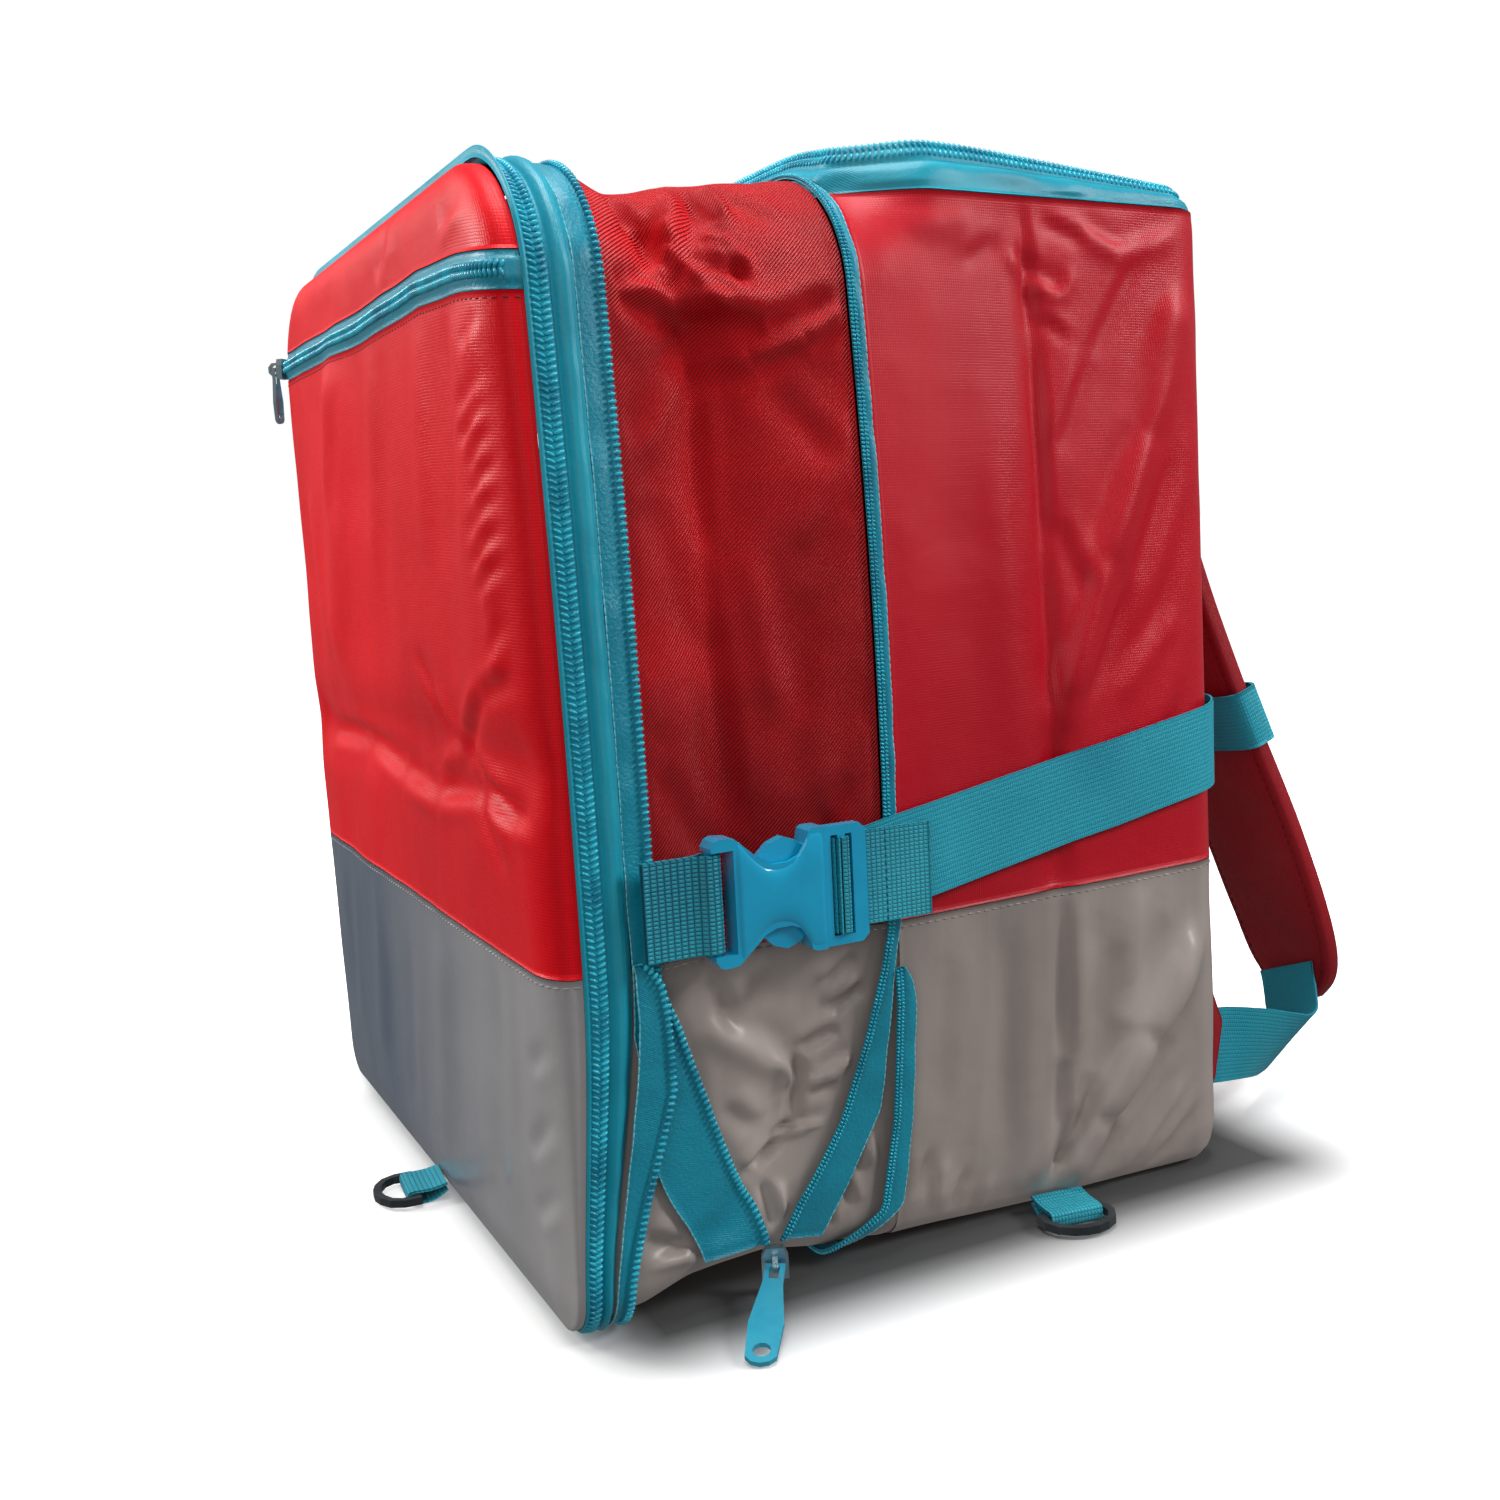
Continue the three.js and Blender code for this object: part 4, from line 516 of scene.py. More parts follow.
def hardFinish(name, look):
    material, tree, shader = newMaterial(name)
    wear = noiseNode(tree, wearScale, 5)
    colour = mixNode(tree, rangeNode(tree, wear, 0.4, 0.7, 0, 1), look["colour"], look["shade"])
    tree.links.new(colour, shader.inputs["Base Color"])
    tree.links.new(rangeNode(tree, wear, 0.3, 0.7, *look["rough"]), shader.inputs["Roughness"])
    bump = bumpNode(tree, noiseNode(tree, wearScale * 8, 3), 0.1, 0.0003)
    tree.links.new(bump, shader.inputs["Normal"])
    shader.inputs["Metallic"].default_value = look.get("metal", 0)
    shader.inputs["Coat Weight"].default_value = look.get("coat", 0)
    return material


clothLooks = {
    "coatedRed": {"colour": (1.0, 0.0004, 0.010), "shade": (0.62, 0.0002, 0.006), "rough": (0.36, 0.5),
                  "weave": "grid", "pitch": (2.4, 2.4), "bump": 0.3, "coat": 0.03, "coatRough": 0.3,
                  "stretch": (1, 1, 0.5), "weaveShade": 0.12, "blotchAndSheenStreak": 4, "blotchesAndSheenStreaks": 0.6, "dent": 0.3,
                  "specular": 0.16},
    "satinRed": {"colour": (0.68, 0.004, 0.019), "shade": (0.44, 0.002, 0.012), "rough": (0.34, 0.5),
                 "weave": "grid", "pitch": (2.2, 2.2), "bump": 0.32, "coat": 0.1, "coatRough": 0.34,
                 "stretch": (1, 1, 0.35), "weaveShade": 0.24, "dent": 0.35, "specular": 0.26},
    "oxfordRed": {"colour": (0.88, 0.004, 0.011), "shade": (0.36, 0.001, 0.005), "rough": (0.46, 0.62),
                  "weave": "twill", "pitch": (1.7, 1.7), "bump": 0.8, "depth": 0.0005, "weaveShade": 0.6,
                  "specular": 0.3, "blotchesAndSheenStreaks": 0.7},
    # In the two greys the blotches are stretched into vertical streaks: painted sheen
    "sideGrey": {"colour": (0.52, 0.44, 0.40), "shade": (0.29, 0.245, 0.225), "rough": (0.3, 0.46),
                 "weave": "grid", "pitch": (1.6, 1.6), "bump": 0.08, "coat": 0.2, "coatRough": 0.28,
                 "stretch": (1, 1, 0.12), "weaveShade": 0.08, "dent": 0.4, "blotchesAndSheenStreaks": 0.9, "blotchAndSheenStreak": 16},
    # The front grey's fade is a painted reflection: lighter towards +x, dark bluish towards -x
    "frontGrey": {"colour": (0.50, 0.47, 0.46), "shade": (0.28, 0.275, 0.285), "rough": (0.24, 0.4),
                  "weave": "grid", "pitch": (1.8, 1.8), "bump": 0.08, "coat": 0.3, "coatRough": 0.2,
                  "stretch": (1, 1, 0.12), "weaveShade": 0.08, "dent": 0.3, "blotchesAndSheenStreaks": 0.7, "blotchAndSheenStreak": 8,
                  "fade": (0.2, -0.06), "fadeColour": (0.10, 0.13, 0.185)},
    "strapRed": {"colour": (0.46, 0.005, 0.016), "shade": (0.27, 0.002, 0.009), "rough": (0.5, 0.65),
                 "weave": "plain", "pitch": (1.2, 1.2), "bump": 0.4, "weaveShade": 0.35},
    "grainTape": {"colour": (0.008, 0.34, 0.47), "shade": (0.003, 0.19, 0.29), "rough": (0.28, 0.42),
                  "weave": "twill", "pitch": (0.9, 0.9), "bump": 0.2, "weaveShade": 0.25, "coat": 0.2,
                  "dent": 0.55, "dentScale": 700, "dentDepth": 0.0008, "blotchAndSheenStreak": 26, "blotchesAndSheenStreaks": 0.5},
    "zipTape": {"colour": (0.010, 0.43, 0.57), "shade": (0.004, 0.23, 0.34), "rough": (0.34, 0.5),
                "weave": "twill", "pitch": (0.9, 0.9), "bump": 0.22, "weaveShade": 0.25, "coat": 0.15,
                "dent": 0.4, "dentScale": 520, "dentDepth": 0.0006, "blotchAndSheenStreak": 26, "blotchesAndSheenStreaks": 0.45},
    "ladderWebbing": {"colour": (0.04, 0.58, 0.72), "shade": (0.004, 0.12, 0.2), "rough": (0.4, 0.55),
                      "weave": "grid", "pitch": (5.6, 3.2), "bump": 0.9, "weaveShade": 0.8, "depth": 0.0006},
    "ribWebbing": {"colour": (0.03, 0.50, 0.64), "shade": (0.008, 0.24, 0.35), "rough": (0.42, 0.56),
                   "weave": "grid", "pitch": (2.2, 4.0), "bump": 0.6, "weaveShade": 0.6, "depth": 0.0004},
    "gridWebbing": {"colour": (0.045, 0.54, 0.67), "shade": (0.006, 0.15, 0.24), "rough": (0.42, 0.56),
                    "weave": "grid", "pitch": (4.4, 3.2), "bump": 0.8, "weaveShade": 0.8, "depth": 0.0005},
}
hardLooks = {
    "buckleBlue": {"colour": (0.005, 0.42, 0.70), "shade": (0.004, 0.36, 0.62),
                   "rough": (0.16, 0.26), "coat": 0.5},
    "teethBlue": {"colour": (0.03, 0.56, 0.72), "shade": (0.006, 0.24, 0.38),
                  "rough": (0.2, 0.32), "coat": 0.2},
    "castMetal": {"colour": (0.50, 0.60, 0.64), "shade": (0.22, 0.42, 0.50),
                  "rough": (0.2, 0.36), "metal": 0.9},
    "pullBlue": {"colour": (0.06, 0.50, 0.70), "shade": (0.03, 0.40, 0.60),
                 "rough": (0.2, 0.3), "metal": 0.2},
    "ringBlack": {"colour": (0.022, 0.028, 0.033), "shade": (0.04, 0.05, 0.055), "rough": (0.3, 0.42)},
    "threadGrey": {"colour": (0.45, 0.43, 0.42), "shade": (0.22, 0.2, 0.2), "rough": (0.6, 0.7)},
    "threadRed": {"colour": (0.25, 0.004, 0.01), "shade": (0.15, 0.002, 0.006), "rough": (0.6, 0.7)},
    "threadBlue": {"colour": (0.008, 0.18, 0.28), "shade": (0.004, 0.12, 0.2), "rough": (0.55, 0.65)},
    "paleEdge": {"colour": (0.22, 0.62, 0.72), "shade": (0.10, 0.48, 0.6), "rough": (0.5, 0.6)},
}
finish = {name: clothFinish(name, look) for name, look in clothLooks.items()}
finish.update({name: hardFinish(name, look) for name, look in hardLooks.items()})
print("finishes ready:", len(finish))

# Front: a padded face cut by the pocket zip and the seam
front = {"thick": 4.4, "columns": 110, "edgeSteps": 7, "rimRound": 9.75, "puff": 0.8, "seamGap": 0.15,
         "relief": (-3.4, 3.2), "zipHalf": 7, "zipGap": 0.3}
pocketLine = np.array([
    (-247, 410.4), (-95, 409.05), (0, 408.15), (104.5, 409.95), (161.5, 406.8), (247, 397.8),
])
# x1, z1, x2, z2, reach, depth
frontWrinkles = [
    (178, 218, 60, 219, 8, -2), (60, 219, -150, 222, 8, -2), (178, 206, 128, 212, 4.5, 3),
    (128, 212, 70, 203, 5, 3), (70, 203, 10, 206, 5, 2.4), (10, 206, -60, 214, 5, 2.2),
    (-60, 214, -150, 209, 5, 2.4), (112, 226, 150, 250, 4, 2.4), (150, 250, 176, 258, 4, 1.8),
    (112, 226, 168, 200, 4, 2.4), (112, 226, 80, 248, 4.5, -2.2), (112, 226, 74, 214, 4, -2),
    (120, 214, 152, 182, 5, 2), (92, 236, 60, 262, 5, 1.4), (178, 302, 156, 290, 3.4, 1.2),
    (178, 326, 150, 312, 3.6, 1.1), (177, 350, 158, 336, 3.2, 1.2), (178, 370, 150, 358, 3.6, 1.2),
    (177, 390, 160, 380, 3.2, 1), (176, 280, 160, 266, 3.4, 1.1), (168, 360, 166, 250, 7, -1.4),
    (-60, 396, -90, 330, 10, -1.8), (20, 398, -5, 300, 12, -1.6), (100, 396, 85, 300, 12, -1.6),
    (-120, 250, -142, 340, 11, -1.6), (140, 396, 128, 300, 8, 1.4), (60, 134, 40, 30, 12, -1.8),
    (-60, 138, -80, 40, 12, -1.8), (130, 140, 120, 40, 9, 1.6), (150, 140, 146, 60, 8, 1.4),
    (182, 92, 158, 72, 4, 1.8), (182, 62, 160, 46, 4, 1.6), (0, 120, -20, 30, 9, 1.4),
    (182, 120, 164, 108, 4, 1.4), (178, 314, 152, 300, 3.2, 1.6), (178, 338, 156, 326, 3.2, 1.6),
    (176, 360, 150, 346, 3.2, 1.6), (-130, 132, -150, 50, 10, 1.4), (170, 436, 140, 428, 4, 1.4),
    (60, 444, 40, 424, 6, 1.2),
]


# Distance inside the front's outline
def frontInset(x, z):
    across = np.abs(x)
    top, foot = bag["topRadius"], bag["footRadius"]
    inset = np.minimum(np.minimum(halfWidth - across, bag["height"] - z), z)
    inTop = (across > topFlat) & (z > bag["height"] - top)
    inset = np.where(inTop, top - np.hypot(across - topFlat, z - (bag["height"] - top)), inset)
    inFoot = (across > footFlat) & (z < foot)
    inset = np.where(inFoot, foot - np.hypot(across - footFlat, foot - z), inset)
    return np.maximum(inset, 0)


def frontHalfWidth(z):
    top, foot = bag["topRadius"], bag["footRadius"]
    up = np.clip(z - (bag["height"] - top), 0, top)
    down = np.clip(foot - z, 0, foot)
    wide = topFlat + np.sqrt(np.maximum(top ** 2 - up ** 2, 0))
    return wide - (foot - np.sqrt(np.maximum(foot ** 2 - down ** 2, 0)))


# A front line is a table of x and z
def lineAt(line, x):
    return np.interp(x, line[:, 0], line[:, 1])


def levelLine(z):
    return np.array([(-halfWidth, z), (halfWidth, z)])


def pocketEdge(shift):
    return pocketLine + (0, shift)


# The rim behind the face starts at the foot or the top where rimAt says so
def frontPiece(name, lowLine, highLine, shares, thick=None, ridge=None, rimAt=None):
    faceRadius, flatEdge = bag["faceRadius"], bag["faceRadius"] / halfWidth
    insets = edgeTurns / halfWidth
    inner = np.linspace(-1 + flatEdge, 1 - flatEdge, front["columns"])[1:-1]
    column = np.concatenate([-1 + insets, inner, (1 - insets)[::-1]])
    s, t = np.meshgrid(column, shares, indexing="ij")
    level = lineAt(lowLine, s * halfWidth) * (1 - t) + lineAt(highLine, s * halfWidth) * t
    wide = frontHalfWidth(level)
    x = np.sign(s) * (wide - np.minimum((1 - np.abs(s)) * halfWidth, wide))
    x = np.where(np.abs(s) < 1 - flatEdge, s * (wide - faceRadius) / (1 - flatEdge), x)
    inset = np.minimum(frontInset(x, level), faceRadius)
    turn = np.sqrt(np.maximum(1 - (1 - inset / faceRadius) ** 2, 0))
    y = bag["frontFace"] + front["rimRound"] * (1 - turn)
    wallX = np.concatenate([x[:1], x, x[-1:]])
    wallY = np.concatenate([np.full_like(y[:1], bag["rimEnd"]), y, np.full_like(y[-1:], bag["rimEnd"])])
    wallZ = np.concatenate([level[:1], level, level[-1:]])
    behind = np.full_like(wallY[:, :1], bag["rimEnd"])
    if rimAt == "foot":
        wallX, wallZ = (np.concatenate([v[:, :1], v], 1) for v in (wallX, wallZ))
        wallY = np.concatenate([behind, wallY], 1)
    if rimAt == "top":
        wallX, wallZ = (np.concatenate([v, v[:, -1:]], 1) for v in (wallX, wallZ))
        wallY = np.concatenate([wallY, behind], 1)
    grid = softened(np.stack([wallX, wallY, wallZ], -1))
    away = frontInset(wallX, wallZ)
    flat = smooth(2, 18, away)
    height = wrinkles(frontWrinkles, wallX, wallZ) * flat
    height += front["puff"] * smooth(10, 60, away)
    height += flat * (noise(wallX, wallZ, 38, 3) * 0.7 + noise(wallX, wallZ * 0.5, 15, 4) * 0.18)
    if ridge is not None:
        height = height + ridge(wallX, wallZ)
    lowest, highest = front["relief"]
    grid = grid + gridNormals(grid) * np.clip(height, lowest, highest)[..., None]
    return shell(name, grid, thick or front["thick"]), grid


edgeTurns = bag["faceRadius"] * (1 - np.cos(np.linspace(0, math.pi / 2, front["edgeSteps"] + 1)))


def rowShares(height, step, foot=False, top=False):
    inner = np.linspace(0, height, max(int(height / step), 2) + 1)
    if foot:
        inner = np.concatenate([edgeTurns[:-1], inner[inner > edgeTurns[-1]]])
    if top:
        inner = np.concatenate([inner[inner < height - edgeTurns[-1]], height - edgeTurns[::-1][1:]])
    return inner / height


seamLow, seamHigh = (levelLine(bag["seam"] + side * front["seamGap"]) for side in (1, -1))
pocketLow, pocketHigh = (pocketEdge(side * (front["zipHalf"] + front["zipGap"])) for side in (-1, 1))
panel, panelGrid = frontPiece("front_pocket_cloth", seamLow, pocketLow, rowShares(254, 2.6))
dress(panel, finish["coatedRed"], replaced=["front_pocket_panel"])
topLine, footLine = levelLine(bag["height"]), levelLine(0)
strip, _ = frontPiece("front_top_cloth", pocketHigh, topLine, rowShares(34, 1.6, top=True), rimAt="top")
dress(strip, finish["coatedRed"], replaced=["front_top_strip"])
bandShares = rowShares(147, 2.8, foot=True)
band, bandGrid = frontPiece("front_grey_cloth", footLine, seamHigh, bandShares, rimAt="foot")
dress(band, finish["frontGrey"], replaced=["front_grey_band"])


def pocketRidge(x, z):
    off = z - lineAt(pocketLine, x)
    return 1.0 * (smooth(-4.6, -3.6, off) - smooth(3.6, 4.6, off)) - 0.3


tape, tapeGrid = frontPiece("pocket_zip_tape", pocketEdge(-front["zipHalf"]), pocketEdge(front["zipHalf"]),
                            np.linspace(0, 1, 15), thick=1.2, ridge=pocketRidge)
dress(tape, finish["grainTape"], replaced=["pocket_zip"])
toothOut = gridNormals(tapeGrid)[2:-2, 7]
toothLine = tapeGrid[2:-2, 7] + toothOut * 0.6
teeth = joinedBeads("pocket_zip_teeth", [
    beads(toothLine, toothOut, 2.3, (1.8, 0.8, 1.1), side * 0.35, side * 1.4) for side in (1, -1)])
dress(teeth, finish["teethBlue"])


def stitchLine(name, line, out, material, pitch=4.2, size=(0.32, 1.4, 0.3), lift=0.2):
    piece = joinedBeads(name, [beads(line + out * lift, out, pitch, size)])
    dress(piece, finish[material])


frontSeams = [
    ("front_seam_stitches", bandGrid, "threadGrey", "grey_cloth", 4.2),
    ("pocket_stitches", panelGrid, "threadRed", "red_cloth", 4.6),
]
for name, grid, material, slot, pitch in frontSeams:
    stitchLine(name, grid[:, -2], gridNormals(grid)[:, -2], material, pitch, (0.32, 1.5, 0.3), 0.1)
print("front ready")

# Zips that run round the bag
frontZip = {
    "profile": [(0, 0.2), (0.04, 1.3), (0.08, 1.2), (0.12, 0.7), (0.3, 1.0), (0.48, 0.8), (0.53, 0.2),
                (0.57, 0.6), (0.61, 2.0), (0.68, 3.1), (0.78, 3.6), (0.88, 3.1), (0.95, 1.9), (0.99, 1.0),
                (1, 0.9)],
    "teethRows": [(0.2, 0.5, (2.0, 0.72, 0.95)), (0.39, -0.4, (2.1, 0.95, 1.45))],
    "farWelt": 6.2, "weltAt": 0.07, "pitch": 2.5, "stand": 1.25, "wide": 18.95,
}
nearStep, farStep = 3.2, 7.0


# Stops round the outline, closer together on the near side
def ringStops(start, end, step=nearStep):
    stops = [start]
    while stops[-1] < end:
        near = 150 < stops[-1] % (2 * halfGirth) < halfGirth + 60
        stops.append(stops[-1] + (step if near else farStep))
    stops = np.array(stops)
    return start + (stops - start) * (end - start) / (stops[-1] - start)


loop = ringStops(0, 2 * halfGirth)[:-1]
zipStart, zipWide = zones["frontZip"][0] + 0.1, frontZip["wide"]
profile = np.array(frontZip["profile"])
fineShare = np.linspace(1, 0, 44)
fineOut = np.interp(fineShare, profile[:, 0], profile[:, 1])
g, s = np.meshgrid(loop, fineShare, indexing="ij")
o = np.broadcast_to(fineOut, g.shape) + 0.3 * noise(g, s * 40, 9, 8) * smooth(0.6, 0.7, s)
overTop = smooth(halfGirth - topFlat - 80, halfGirth - topFlat + 10, g)
farFoot = 2 * halfGirth - footFlat
overTop = overTop * (1 - smooth(farFoot - 160, farFoot - 60, g))
o = o + frontZip["farWelt"] * overTop * np.exp(-((s / frontZip["weltAt"] - 1) ** 2))
zipGrid = ringPoints(g, zipStart + s * zipWide, o)
zipTape = shell("front_zip_tape", zipGrid, 1.2, closed=True)
dress(zipTape, finish["zipTape"], replaced=["front_zip"])


def ringPath(girth, y, out):
    line = ringPoints(girth, y, out)
    return line, ringPoints(girth, y, out + 1) - line


rows = []
dense = np.linspace(0, 2 * halfGirth, 900)
for share, slant, tooth in frontZip["teethRows"]:
    line, out = ringPath(dense, zipStart + share * zipWide, frontZip["stand"])
    rows.append(beads(line, out, frontZip["pitch"], tooth, slant))
dress(joinedBeads("front_zip_teeth", rows), finish["teethBlue"])
print("front zip ready")

# Open zip halves: z as a share of the height, zone, place in it, tape width as a share, stand
openZip = {"tape": 22, "tooth": 3.0, "tapeThick": 1.2, "slider": 12.6}
clothStand, overStand = 1.3, 4.4
zipRoutes = {
    "expansion_zip_front": (-1, [
        (0.028, "gusset", 0.405, 0.9, clothStand), (0.08, "gusset", 0.36, 1, clothStand),
        (0.162, "gusset", 0.23, 1, clothStand), (0.27, "gusset", 0.05, 0.75, clothStand),
        (0.31, "openZipFront", 0.72, 0.36, clothStand), (0.4, "openZipFront", 0.7, 0.36, -0.6),
        (2, "openZipFront", 0.7, 0.36, -0.6)]),
    "expansion_zip_back": (1, [
        (0.028, "gusset", 0.515, 0.75, clothStand), (0.07, "gusset", 0.6, 0.8, clothStand),
        (0.152, "gusset", 0.81, 0.7, clothStand), (0.22, "gusset", 0.92, 0.36, clothStand),
        (0.285, "openZipBack", 0, 0.14, clothStand), (0.325, "openZipBack", 0.5, 0.14, clothStand),
        (0.4, "openZipBack", 0.5, 0.14, -0.6), (2, "openZipBack", 0.5, 0.14, -0.6)]),
    "bottom_zip_front": (-1, [
        (-1, "openZipFront", 0.7, 0.34, clothStand), (0.04, "openZipFront", 0.7, 0.34, clothStand),
        (0.13, "gusset", -0.02, 0.42, overStand), (0.22, "gusset", 0.03, 0.62, overStand),
        (0.285, "gusset", -0.01, 0.44, overStand), (0.312, "openZipFront", 0.7, 0.36, overStand),
        (0.326, "openZipFront", 0.4, 0.2, overStand), (0.334, "openZipFront", 0.1, 0.08, overStand)]),
    "bottom_zip_back": (1, [
        (-1, "gusset", 0.6, 0.34, clothStand), (0.008, "gusset", 0.78, 0.34, clothStand),
        (0.045, "openZipBack", 0, 0.34, clothStand), (0.14, "openZipBack", 0.8, 0.3, clothStand),
        (0.25, "openZipBack", 1.05, 0.27, clothStand),
        (0.272, "openZipBack", 1.0, 0.2, clothStand), (0.285, "openZipBack", 0.92, 0.06, clothStand)]),
}


def routeValues(name, z):
    rows = zipRoutes[name][1]
    heights = [row[0] * bag["height"] for row in rows]
    return [np.interp(z, heights, values) for values in (
        [yIn(row[1], row[2]) for row in rows], [row[3] for row in rows], [row[4] for row in rows])]


def openZipPiece(name, fromHeight, overTop, coarse):
    toward = zipRoutes[name][0]
    foot = girthAtHeight(fromHeight)
    start, end = (foot, 2 * halfGirth - foot) if overTop else (-foot, foot)
    stops = ringStops(start + 1e-3, end)
    _, z = outlineAt(stops, 0)
    y, wide, stand = routeValues(name, z)
    across = np.concatenate([np.linspace(1, 0, 13), np.linspace(0, -1, 6)[1:]])
    tapePart = np.maximum(across, 0)
    toothPart = np.maximum(-across, 0)
    offset = tapePart[None] * (wide * openZip["tape"])[:, None] - toothPart[None] * openZip["tooth"]
    bulge = 0.45 * np.sin(math.pi * np.clip(tapePart, 0, 1)) ** 0.7
    puff = 0.55 * noise(stops[:, None] + 0 * across, across[None] * 3, 11, 21)
    puff *= smooth(0.05, 0.5, tapePart)[None]
    chain = 0.9 * smooth(0.1, 0.5, toothPart)[None]
    out = stand[:, None] + openZip["tapeThick"] + bulge[None] + puff + chain
    gridGirth = np.broadcast_to(stops[:, None], out.shape)
    grid = ringPoints(gridGirth, y[:, None] + toward * offset, out)
    piece = shell(name + "_tape", grid, openZip["tapeThick"] * 0.9, flip=toward < 0)
    dress(piece, finish["grainTape"], replaced=[name])
    line, up = grid[:, -3], ringPoints(stops, y, stand + 3) - ringPoints(stops, y, stand + 2)
    if coarse:
        rows = [beads(line + up * 0.3, up, 2.6, (1.8, 0.88, 1.2), 0.15 * toward)]
    else:
        rows = [beads(line + up * 0.25, up, 1.6, (0.95, 0.54, 0.8), 0.5, shift) for shift in (-0.9, 0.9)]
    dress(joinedBeads(name + "_teeth", rows), finish["teethBlue"])
    welt = beads(grid[:, 0], up, 3.2, (0.35, 1.9, 0.4))
    dress(joinedBeads(name + "_welt", [welt]), finish["paleEdge"])
    return grid


openZipPiece("expansion_zip_front", openZip["slider"], True, True)
openZipPiece("expansion_zip_back", openZip["slider"], True, False)
openZipPiece("bottom_zip_front", bag["seam"] * 1.02, False, True)
openZipPiece("bottom_zip_back", bag["seam"] * 0.87, False, False)
print("open zips ready")

# Gusset: level is z on the near side and runs on over the corner
levelZero = footFlat + footArc - bag["footRadius"]
gusset = {"thick": 1.3, "across": 72, "step": 2.0, "pucker": 9, "lowerDepth": 1.4, "gap": 0.15}
# y1, level1, y2, level2, reach, depth
upperWrinkles = [
    (-84, 452, -92, 420, 4.5, -4.2), (-92, 420, -104, 404, 4, -3.2), (-104, 404, -117, 397, 3.5, -2.2),
    (-100, 432, -99, 410, 4.5, 4.6), (-99, 410, -120, 401, 5, 3.2), (-118, 446, -112, 426, 4.5, -2.6),
    (-108, 456, -106, 434, 4, 2.8), (-74, 458, -75, 430, 4, 3.2), (-66, 456, -68, 432, 4, -2.6),
    (-58, 450, -52, 428, 5, 2.2), (-79, 424, -69, 420, 2.6, -2.2), (-82, 412, -64, 406, 3.2, 2.6),
    (-83, 400, -75, 395, 2.8, -2.2), (-72, 416, -66, 402, 2.6, 2), (-90, 414, -84, 404, 2.6, -1.8),
    (-119, 397, -94, 386, 5, 3.6), (-94, 386, -60, 385, 6, 3.4), (-60, 385, -27, 396, 5, 2.8),
    (-24, 393, -44, 381, 4, -2.6), (-44, 381, -66, 374, 4, -2.4), (-66, 374, -88, 371, 4.5, -2),
    (-95, 382, -120, 342, 5, 2.4), (-88, 378, -90, 300, 4, 2.2), (-90, 300, -85, 200, 4.5, 1.8),
    (-62, 362, -32, 330, 7, 1.8), (-112, 322, -97, 262, 7, 1.8), (-48, 284, -62, 204, 7, 1.6),
    (-36, 210, -62, 166, 6, 1.8), (-116, 220, -96, 178, 6, 1.6), (-30, 340, -52, 300, 6, -1.4),
    (-74, 300, -66, 240, 6, -1.4), (-104, 250, -110, 200, 6, -1.2), (-54, 200, -40, 170, 5, 1.4),
    (-122, 470, -110, 500, 6, 2.6), (-92, 476, -84, 520, 6, 3), (-62, 474, -68, 515, 6, 2.6),
]
lowerWrinkles = [
    (-102, 36, -84, 52, 3.5, 2.8), (-84, 52, -66, 70, 3.2, 3.4), (-66, 70, -61, 98, 3.2, 3),
    (-61, 98, -44, 106, 3.4, 2.6), (-80, 44, -76, 20, 2.6, 2.4), (-72, 42, -74, 18, 2.4, -1.8),
    (-66, 36, -60, 20, 2.4, 2.2), (-79, 63, -52, 68, 1.8, -2), (-52, 86, -38, 94, 2.8, -2),
    (-47, 112, -32, 122, 3.2, 2.6), (-106, 120, -70, 92, 6, -2.6), (-100, 138, -90, 112, 4, 1.8),
    (-58, 80, -46, 82, 2.2, 2), (-41, 62, -36, 40, 2.6, 2.2), (-34, 68, -30, 44, 2.4, -1.8),
    (-45, 44, -40, 24, 2.4, 2.2), (-53, 34, -50, 16, 2.4, 2), (-59, 30, -56, 14, 2.2, -1.8),
    (-125, 40, -108, 22, 4, 2.4), (-119, 24, -98, 12, 3.2, -2.2), (-89, 28, -84, 10, 3, 2.2),
    (-96, 84, -84, 70, 4, 1.8), (-74, 100, -64, 84, 3, -1.8), (-50, 124, -36, 136, 3, 1.8),
    (-90, 120, -70, 132, 5, 1.4),
]


# Gives 1 where an open zip's tape lies over the cloth, and 0 away from it
def underTapes(girth, y):
    _, z = outlineAt(girth, 0)
    covered = np.zeros_like(y)
    for name, low, high in (("expansion_zip_front", 0.02, 2), ("expansion_zip_back", 0.02, 2),
                            ("bottom_zip_front", -2, 0.34), ("bottom_zip_back", -2, 0.29)):
        toward = zipRoutes[name][0]
        middle, wide, _ = routeValues(name, z)
        reach = toward * (y - middle)
        inside = smooth(-9, -4, reach) * smooth(-5, -0.5, wide * openZip["tape"] - reach)
        covered = np.maximum(covered, inside * ((z > low * bag["height"]) & (z < high * bag["height"])))
    return covered


